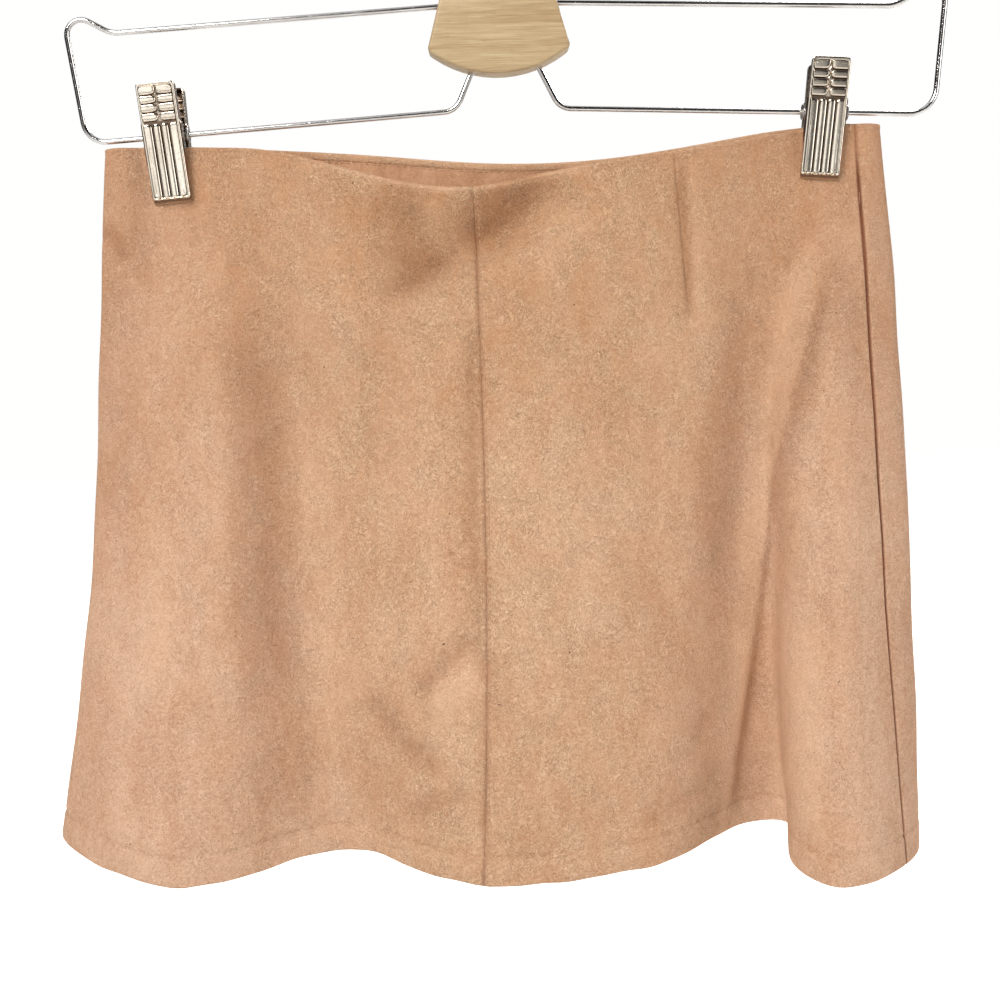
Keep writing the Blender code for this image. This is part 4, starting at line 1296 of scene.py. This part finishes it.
def on_front(pieces, x, z):
    """The place and the outward normal on the skirt's front at an X and Z."""
    found = []
    for name in ("front_left", "front_right"):
        panel, outer = pieces[name]
        away = np.hypot(panel.middle[..., 0] - x, panel.middle[..., 2] - z)
        away = away + np.where(panel.outward[..., 1] < 0, 0.0, 1e6)
        spot = np.unravel_index(away.argmin(), away.shape)
        normal = panel.outward[spot]
        found.append((away[spot], panel.middle[spot] + normal * outer[spot], normal))
    return min(found, key=lambda one: one[0])[1:]


def flecks(pieces, finish):
    """Tiny dark flecks caught in the nap."""
    made = []
    for fleck in FLECKS:
        at, normal = on_front(pieces, fleck.x, fleck.z)
        bpy.ops.mesh.primitive_ico_sphere_add(subdivisions=2, radius=1.0)
        speck = bpy.context.active_object
        stand = Vector(normal).to_track_quat("Z", "Y").to_matrix().to_4x4()
        spin = Matrix.Rotation(math.radians(fleck.turn), 4, "Z")
        size = Matrix.Diagonal((fleck.long / 2 * MM, fleck.wide / 2 * MM, FLECK_DEEP * MM, 1.0))
        speck.matrix_world = Matrix.Translation(Vector(at) * MM) @ stand @ spin @ size
        made.append(speck)
    settle(joined(made, "flecks_in_the_nap"), finish, smooth_under=60.0)


THREAD_RADIUS = 0.12
LOOSE_THREAD = [(164.5, -209.2), (166.6, -208.2), (168.4, -207.4), (169.9, -205.9), (171.3, -204.7)]


def loose_thread(pieces, finish):
    """A loose end of thread that stands out of the cloth beside the right clip."""
    points = []
    for step, (x, z) in enumerate(LOOSE_THREAD):
        at, normal = on_front(pieces, x, z)
        points.append(at + normal * (-0.1 + 0.35 * step))
    curve = bpy.data.curves.new("loose_thread", "CURVE")
    curve.dimensions = "3D"
    curve.bevel_depth = THREAD_RADIUS * MM
    curve.bevel_resolution = 2
    curve.use_fill_caps = True
    spline = curve.splines.new("POLY")
    spline.points.add(len(points) - 1)
    for spot, point in zip(spline.points, points):
        spot.co = (*(point * MM), 1.0)
    take_up(linked("loose_thread", curve))
    bpy.ops.object.convert(target="MESH")
    settle(bpy.context.active_object, finish, smooth_under=60.0)


# Finishes


class Socket:
    """A value in a finish: an expression on it adds the nodes that work it out."""

    def __init__(self, finish, output):
        self.finish = finish
        self.output = output

    def maths(self, operation, first, second):
        return self.finish.node("Math", {"operation": operation}, {0: first, 1: second})

    def __add__(self, other):
        return self.maths("ADD", self, other)

    def __sub__(self, other):
        return self.maths("SUBTRACT", self, other)

    def __rsub__(self, other):
        return self.maths("SUBTRACT", other, self)

    def __mul__(self, other):
        return self.maths("MULTIPLY", self, other)

    def __pow__(self, other):
        return self.maths("POWER", self, other)

    def size(self):
        """The value without its sign."""
        return self.maths("ABSOLUTE", self, 0.0)

    __radd__ = __add__
    __rmul__ = __mul__

    def held(self):
        """The value, kept between 0 and 1."""
        return self.finish.node("Clamp", {}, {"Value": self})

    def eased(self, low, high):
        """0 below `low`, 1 above `high`, smooth between."""
        values = {"Value": self, "From Min": low, "From Max": high}
        return self.finish.node("MapRange", {"interpolation_type": "SMOOTHSTEP"}, values)


class Finish:
    """A material, or the world's light, whose nodes are written as expressions."""

    def __init__(self, name, world=False):
        self.made = (bpy.data.worlds if world else bpy.data.materials).new(name)
        self.made.use_nodes = True
        self.tree = self.made.node_tree
        self.tree.nodes.clear()

    def node(self, kind, settings=None, values=None, output=0):
        made = self.tree.nodes.new("ShaderNode" + kind)
        for key, value in (settings or {}).items():
            if key == "stops":
                self.set_stops(made.color_ramp, value)
            else:
                setattr(made, key, value)
        for key, value in (values or {}).items():
            if isinstance(value, Socket):
                self.tree.links.new(value.output, made.inputs[key])
            else:
                made.inputs[key].default_value = value
        return Socket(self, made.outputs[output])

    @staticmethod
    def set_stops(ramp, stops):
        for place, _ in stops[len(ramp.elements):]:
            ramp.elements.new(place)
        for element, (place, colour) in zip(ramp.elements, stops):
            element.position = place
            element.color = colour

    def place(self, stretch=(1.0, 1.0, 1.0), turn=(0.0, 0.0, 0.0)):
        """Places on the object, in metres, stretched and turned for a pattern."""
        spot = self.node("TexCoord", output="Object")
        turn = [math.radians(angle) for angle in turn]
        return self.node("Mapping", {}, {"Vector": spot, "Rotation": turn, "Scale": stretch})

    def axis(self, which):
        """One coordinate of the place, in metres: 0 across, 1 back, 2 up."""
        return self.node("SeparateXYZ", {}, {0: self.place()}, output=which)

    def noise(self, scale, detail=2.0, roughness=0.5, distortion=0.0, **where):
        values = {"Scale": scale, "Detail": detail, "Roughness": roughness, "Distortion": distortion}
        return self.node("TexNoise", {}, {"Vector": self.place(**where), **values})

    def mark(self, name):
        """What the mesh says at each place under this name."""
        return self.node("Attribute", {"attribute_name": name}, output="Fac")

    def mix(self, share, first, second, how="MIX"):
        settings = {"data_type": "RGBA", "blend_type": how}
        return self.node("Mix", settings, {0: share, 6: first, 7: second}, output=2)

    def bump(self, height, depth, strength=1.0, under=None):
        values = {"Height": height, "Distance": depth, "Strength": strength}
        if under:
            values["Normal"] = under
        return self.node("Bump", {}, values)

    def surface(self, **values):
        """The shader, with its sockets' names written with underscores."""
        sockets = {key.replace("_", " "): value for key, value in values.items()}
        return self.ends_in("OutputMaterial", self.node("BsdfPrincipled", {}, sockets))

    def ends_in(self, kind, shader):
        end = self.tree.nodes.new("ShaderNode" + kind)
        self.tree.links.new(shader.output, end.inputs["Surface"])
        return self.made


def shade(red, green, blue):
    """A colour as it is seen, from 0 to 255, as a light value."""
    parts = [part / 255 for part in (red, green, blue)]
    return (*(p / 12.92 if p <= 0.04045 else ((p + 0.055) / 1.055) ** 2.4 for p in parts), 1.0)


def suede(name):
    """Brushed suede: a short curly nap over a soft ground, with painted shade and painted light in darker and
    paler patches, painted glints, and painted shade along the seams.
    """
    finish = Finish(name)
    curl = finish.noise(400.0, 2.0, 0.55, 2.4)
    ridges = 1 - (curl - 0.5).size() * 6.5
    crest = ridges.eased(0.05, 0.95)
    tuft = finish.noise(640.0, 2.0, 0.6, 1.4)
    grain = finish.noise(1800.0, 2.0, 0.6, 0.5)
    patches = finish.noise(1.0, 3.0, 0.55, 0.4, stretch=(34.0, 34.0, 13.0))
    brushed = finish.noise(1.0, 2.0, 0.5, 0.8, stretch=(120.0, 120.0, 48.0), turn=(0, 12, 0))
    across = finish.axis(0)
    down = finish.axis(2)
    side = (across * 4.4).size() ** 1.7
    low = (down * -1.0).eased(0.15, 0.42)
    pink = (side * 0.8 + low * 0.35 + patches * 0.5 - 0.2).eased(0.0, 1.0)
    # The ground is paler towards the hem: painted light. It is also pinker towards the sides and lower down.
    above = finish.mix(pink, shade(198, 158, 122), shade(196, 158, 132))
    below = finish.mix(pink, shade(223, 184, 147), shade(226, 190, 163))
    ground = finish.mix(low, above, below)
    # The nap's dark between its tufts: its own deeper tone with painted shade of the nap's hollows.
    hollow = finish.mix(pink, shade(162, 107, 66), shade(170, 119, 85))
    thick = finish.noise(1.0, 2.0, 0.5, 0.6, stretch=(75.0, 75.0, 60.0)).eased(0.3, 0.7) * 0.8 + 0.4
    thick = thick * (1.5 - side * 0.7 - low * 0.25)
    crest = crest * thick
    nap = crest * 0.28 + tuft.eased(0.32, 0.68) * 0.38 + grain.eased(0.32, 0.68) * 0.32
    nap = nap + patches.eased(0.3, 0.7) * 0.22 + brushed.eased(0.3, 0.7) * 0.12
    colour = finish.mix(nap * 0.86, hollow, ground)
    fibre = (grain * tuft).eased(0.36, 0.46)
    colour = finish.mix(fibre * 0.3, colour, shade(240, 206, 176))
    # Painted glints: thin pale strokes of painted highlight on the nap.
    painted_glints = 1 - (finish.noise(520.0, 1.0, 0.5, 3.0) - 0.5).size() * 15.0
    colour = finish.mix(painted_glints.eased(0.2, 1.0) * thick * 0.4, colour, shade(238, 204, 172))
    pits = finish.noise(1050.0, 1.0, 0.5, 0.3).eased(0.70, 0.745)
    colour = finish.mix(pits * 0.5, colour, shade(138, 85, 50))
    # Painted shade where the mesh's mark is below 0, painted light where it is above.
    painted_shading = finish.mark("brushed")
    colour = finish.mix((painted_shading * -0.66).held(), colour, (0.50, 0.38, 0.29, 1.0), "MULTIPLY")
    colour = finish.mix((painted_shading * 0.55).held(), colour, shade(234, 194, 160))
    # Painted shade along each seam: a dark line in the seam's groove.
    seam = finish.mark("seam")
    colour = finish.mix(seam.eased(0.1, 0.9) * 0.85, colour, shade(124, 68, 42))
    lumps = finish.bump(crest * 0.5 + tuft * 0.9, 0.45 * MM, 0.9)
    fine = finish.bump(grain, 0.35 * MM, 0.7, lumps)
    return finish.surface(
        Base_Color=colour,
        Roughness=0.86 + grain * 0.1,
        Specular_IOR_Level=0.15,
        Sheen_Weight=0.08,
        Sheen_Roughness=0.45,
        Sheen_Tint=shade(255, 214, 184),
        Normal=fine,
    )


def facing_cloth(name):
    """The facing's cloth: the same suede, shorter in the nap and rubbed flat in patches."""
    finish = Finish(name)
    tuft = finish.noise(760.0, 2.0, 0.6, 1.4)
    grain = finish.noise(2000.0, 2.0, 0.6, 0.5)
    patches = finish.noise(1.0, 3.0, 0.55, 0.4, stretch=(60.0, 60.0, 45.0))
    drawn = finish.noise(1.0, 2.0, 0.5, 0.3, stretch=(210.0, 210.0, 70.0))
    nap = tuft.eased(0.28, 0.72) * 0.4 + grain.eased(0.25, 0.75) * 0.25
    nap = nap + patches.eased(0.3, 0.7) * 0.3 + drawn.eased(0.3, 0.7) * 0.15
    colour = finish.mix(nap, shade(158, 112, 78), shade(208, 164, 130))
    lumps = finish.bump(tuft * 0.6 + drawn * 1.6, 0.45 * MM, 0.9)
    return finish.surface(
        Base_Color=colour,
        Roughness=0.86 + grain * 0.1,
        Specular_IOR_Level=0.2,
        Sheen_Weight=0.12,
        Normal=finish.bump(grain, 0.3 * MM, 0.7, lumps),
    )


def sewing_thread(name, light, dark):
    """Spun thread, with its plies running round it."""
    finish = Finish(name)
    plies = finish.noise(1.0, 1.0, 0.5, 0.2, stretch=(3200.0, 3200.0, 5200.0), turn=(0, 38, 0))
    worn = finish.noise(160.0, 2.0, 0.5)
    return finish.surface(
        Base_Color=finish.mix(plies * 0.6 + worn * 0.4, dark, light),
        Roughness=0.62 + plies * 0.2,
        Specular_IOR_Level=0.35,
        Sheen_Weight=0.2,
        Normal=finish.bump(plies, 0.1 * MM, 0.5),
    )


def polished(name, light, dark, rough, wear):
    """Bright plating, with a dull bloom in patches, hairline scratches and tiny pits."""
    finish = Finish(name)
    bloom = finish.noise(55.0, 4.0, 0.6, 0.6)
    hair = finish.noise(1.0, 2.0, 0.6, 0.1, stretch=(260.0, 2600.0, 2600.0), turn=(0, 9, 20))
    scratched = hair.eased(0.62, 0.70)
    pits = finish.noise(1900.0, 1.0, 0.5).eased(0.68, 0.76)
    tint = finish.mix(bloom.eased(0.35, 0.75) * wear, light, dark)
    tint = finish.mix(pits * 0.6, tint, dark)
    # Painted shade in the grooves of the pressed jaws.
    groove = finish.mark("groove")
    tint = finish.mix(groove * 0.85, tint, shade(92, 64, 44))
    return finish.surface(
        Base_Color=tint,
        Metallic=1.0 - pits * 0.35,
        Roughness=bloom * 0.14 * wear + scratched * 0.10 + pits * 0.25 + groove * 0.15 + rough,
        Normal=finish.bump((scratched * 0.25 + pits * 0.75) * -1.0, 0.05 * MM, 0.4),
    )


def pale_wood(name):
    """Pale wood with its grain across the block: fine streaks, fibres and small pores."""
    finish = Finish(name)
    rings = finish.noise(1.0, 4.0, 0.55, 0.8, stretch=(12.0, 80.0, 230.0), turn=(0, 1.5, 0))
    streaks = finish.noise(1.0, 3.0, 0.6, 0.4, stretch=(45.0, 600.0, 1100.0), turn=(0, 1.0, 0))
    fibres = finish.noise(1.0, 2.0, 0.6, 0.2, stretch=(130.0, 3000.0, 3600.0), turn=(0, 1.0, 0))
    pores = finish.noise(1.0, 1.0, 0.5, 0.0, stretch=(240.0, 2600.0, 3800.0)).eased(0.66, 0.72)
    tone = rings.eased(0.30, 0.72) * 0.35 + streaks.eased(0.3, 0.7) * 0.35 + fibres * 0.3
    browns = ((0.0, shade(144, 116, 80)), (0.35, shade(166, 140, 103)), (0.62, shade(181, 158, 121)))
    colour = finish.node("ValToRGB", {"stops": (*browns, (1.0, shade(197, 178, 144)))}, {"Fac": tone})
    colour = finish.mix(pores * 0.45, colour, shade(128, 96, 62))
    return finish.surface(
        Base_Color=colour,
        Roughness=0.42 + streaks * 0.16,
        Specular_IOR_Level=0.4,
        Coat_Weight=0.15,
        Coat_Roughness=0.35,
        Normal=finish.bump(fibres * 0.6 + (1 - pores) * 0.4, 0.08 * MM, 0.35),
    )


def fleck_finish(name):
    finish = Finish(name)
    mottle = finish.noise(2500.0, 2.0, 0.5)
    return finish.surface(
        Base_Color=finish.mix(mottle, shade(74, 44, 30), shade(128, 84, 56)),
        Roughness=0.8 + mottle * 0.1,
        Normal=finish.bump(mottle, 0.05 * MM, 0.5),
    )


# The room

FLOOR_Z = -0.70
WHITE = shade(255, 255, 254)
WARM = (1.0, 0.985, 0.965)
VIEW_FROM = (-0.0064, -0.615, -0.262)
VIEW_DOWN = math.radians(7.583)
VIEW_ROLL = math.radians(1.9)
LENS = 45.972


def room():
    scene = bpy.context.scene
    scene.view_settings.view_transform = "Standard"
    scene.view_settings.look = "None"
    bpy.ops.mesh.primitive_plane_add(size=7, location=(0, 0, FLOOR_Z))
    floor = named("studio_floor")
    pale = Finish("pale_floor")
    tone = pale.noise(3.0, 3.0)
    seen = pale.node("LightPath", output="Is Camera Ray")
    floor.data.materials.append(
        pale.surface(
            Base_Color=pale.mix(tone, shade(236, 236, 235), shade(240, 240, 239)),
            Roughness=0.8 + tone * 0.1,
            Emission_Color=pale.mix(seen, shade(0, 0, 0), WHITE),
            Emission_Strength=0.75,
        )
    )
    sky()
    soft_light("window_light", (-0.88, -1.34, 0.88), 0.8, 37.2, WARM)
    soft_light("far_window_light", (0.9, 1.35, 0.85), 0.9, 44.0, WARM)
    soft_light("side_fill", (1.5, -0.9, 0.1), 1.0, 11.0, (1.0, 0.98, 0.96))
    camera = bpy.data.cameras.new("camera")
    camera.sensor_width = 36.0
    camera.lens = LENS
    camera.clip_start = 0.01
    scene.camera = linked("camera", camera)
    tilt = Matrix.Rotation(math.pi / 2 - VIEW_DOWN, 4, "X") @ Matrix.Rotation(-VIEW_ROLL, 4, "Z")
    scene.camera.matrix_world = Matrix.Translation(VIEW_FROM) @ tilt


BRIGHTEST = 2.1  # the brightest stop of a row below, so that all of them fit a ramp
# Brightness by height, from straight down to straight up, and by side where a viewer would stand.
SKY = [
    (0.0, 0.2), (0.43, 0.3), (0.445, 0.95), (0.505, 0.95), (0.535, 0.22), (0.66, 0.06), (0.82, 0.06), (0.92, 0.5),
    (1.0, 0.6),
]
VIEWER_SIDE = [
    (0.0, 0.15), (0.07, 0.15), (0.10, 0.35), (0.17, 0.1), (0.21, 1.35), (0.44, 1.55), (0.48, 0.11), (0.56, 0.09),
    (0.60, 0.3), (0.66, 0.35), (0.69, 1.7), (0.71, 1.7), (0.74, 0.10), (0.86, 0.15), (0.90, 0.9), (0.95, 0.9),
    (0.97, 0.2), (1.0, 0.2),
]
FAR_SIDE = [
    (0.0, 0.15), (0.10, 0.2), (0.2, 1.25), (0.8, 1.25), (0.90, 0.2), (1.0, 0.15),
]


def sky():
    """Soft light from all round, with dim and bright screens for the metal; white to the eye."""
    world = Finish("studio", world=True)
    bpy.context.scene.world = world.made
    towards = world.node("TexCoord", output="Generated")
    along = lambda axis: world.node("SeparateXYZ", {}, {0: towards}, output=axis)
    levels = []
    for axis, stops in (("Z", SKY), ("X", VIEWER_SIDE), ("X", FAR_SIDE)):
        greys = [(at, (level / BRIGHTEST,) * 3 + (1.0,)) for at, level in stops]
        share = world.node("MapRange", {}, {"Value": along(axis), "From Min": -1})
        levels.append(world.node("ValToRGB", {"stops": greys}, {"Fac": share}))
    above, near, far = levels
    in_front = world.node("Math", {"operation": "LESS_THAN"}, {0: along("Y"), 1: 0.0})
    both = world.mix(1.0, above, world.mix(in_front, far, near), "MULTIPLY")
    around = world.node("Background", {}, {"Color": both, "Strength": BRIGHTEST**2})
    seen = world.node("Background", {}, {"Color": WHITE})
    path = world.node("LightPath", output="Is Camera Ray")
    world.ends_in("OutputWorld", world.node("MixShader", {}, {0: path, 1: around, 2: seen}))


def soft_light(name, at, size, power, colour):
    """A square soft box that points at the middle of the skirt."""
    light = bpy.data.lights.new(name, "AREA")
    light.shape = "SQUARE"
    light.size = size
    light.energy = power
    light.color = colour
    aim = Vector((0.0, 0.0, -0.3)) - Vector(at)
    linked(name, light).matrix_world = Matrix.Translation(at) @ aim.to_track_quat("-Z", "Y").to_matrix().to_4x4()


cloth_finish = suede("brushed_suede")
thread_finish = sewing_thread("suede_thread", shade(204, 160, 126), shade(162, 118, 86))
chrome = polished("chrome_plate", (0.70, 0.68, 0.66, 1.0), (0.40, 0.37, 0.35, 1.0), 0.07, 0.5)
nickel = polished("nickel_plate", (0.85, 0.77, 0.655, 1.0), (0.54, 0.45, 0.35, 1.0), 0.10, 0.5)
dark_steel = polished("dark_spring_steel", (0.42, 0.41, 0.40, 1.0), (0.20, 0.18, 0.17, 1.0), 0.22, 0.9)

room()
pieces = skirt(cloth_finish)
waist_facing(facing_cloth("facing_cloth"))
sewing(pieces, thread_finish)
flecks(pieces, fleck_finish("dark_fleck"))
loose_thread(pieces, thread_finish)
hanger_block(pale_wood("pale_oak"))
wire_loop("left_wire_loop", LEFT_LOOP, chrome, "wire_loop_left")
wire_loop("right_wire_loop", RIGHT_LOOP, chrome, "wire_loop_right")
hanger_hook(chrome)
hook_collar(chrome)
clips(nickel, dark_steel)
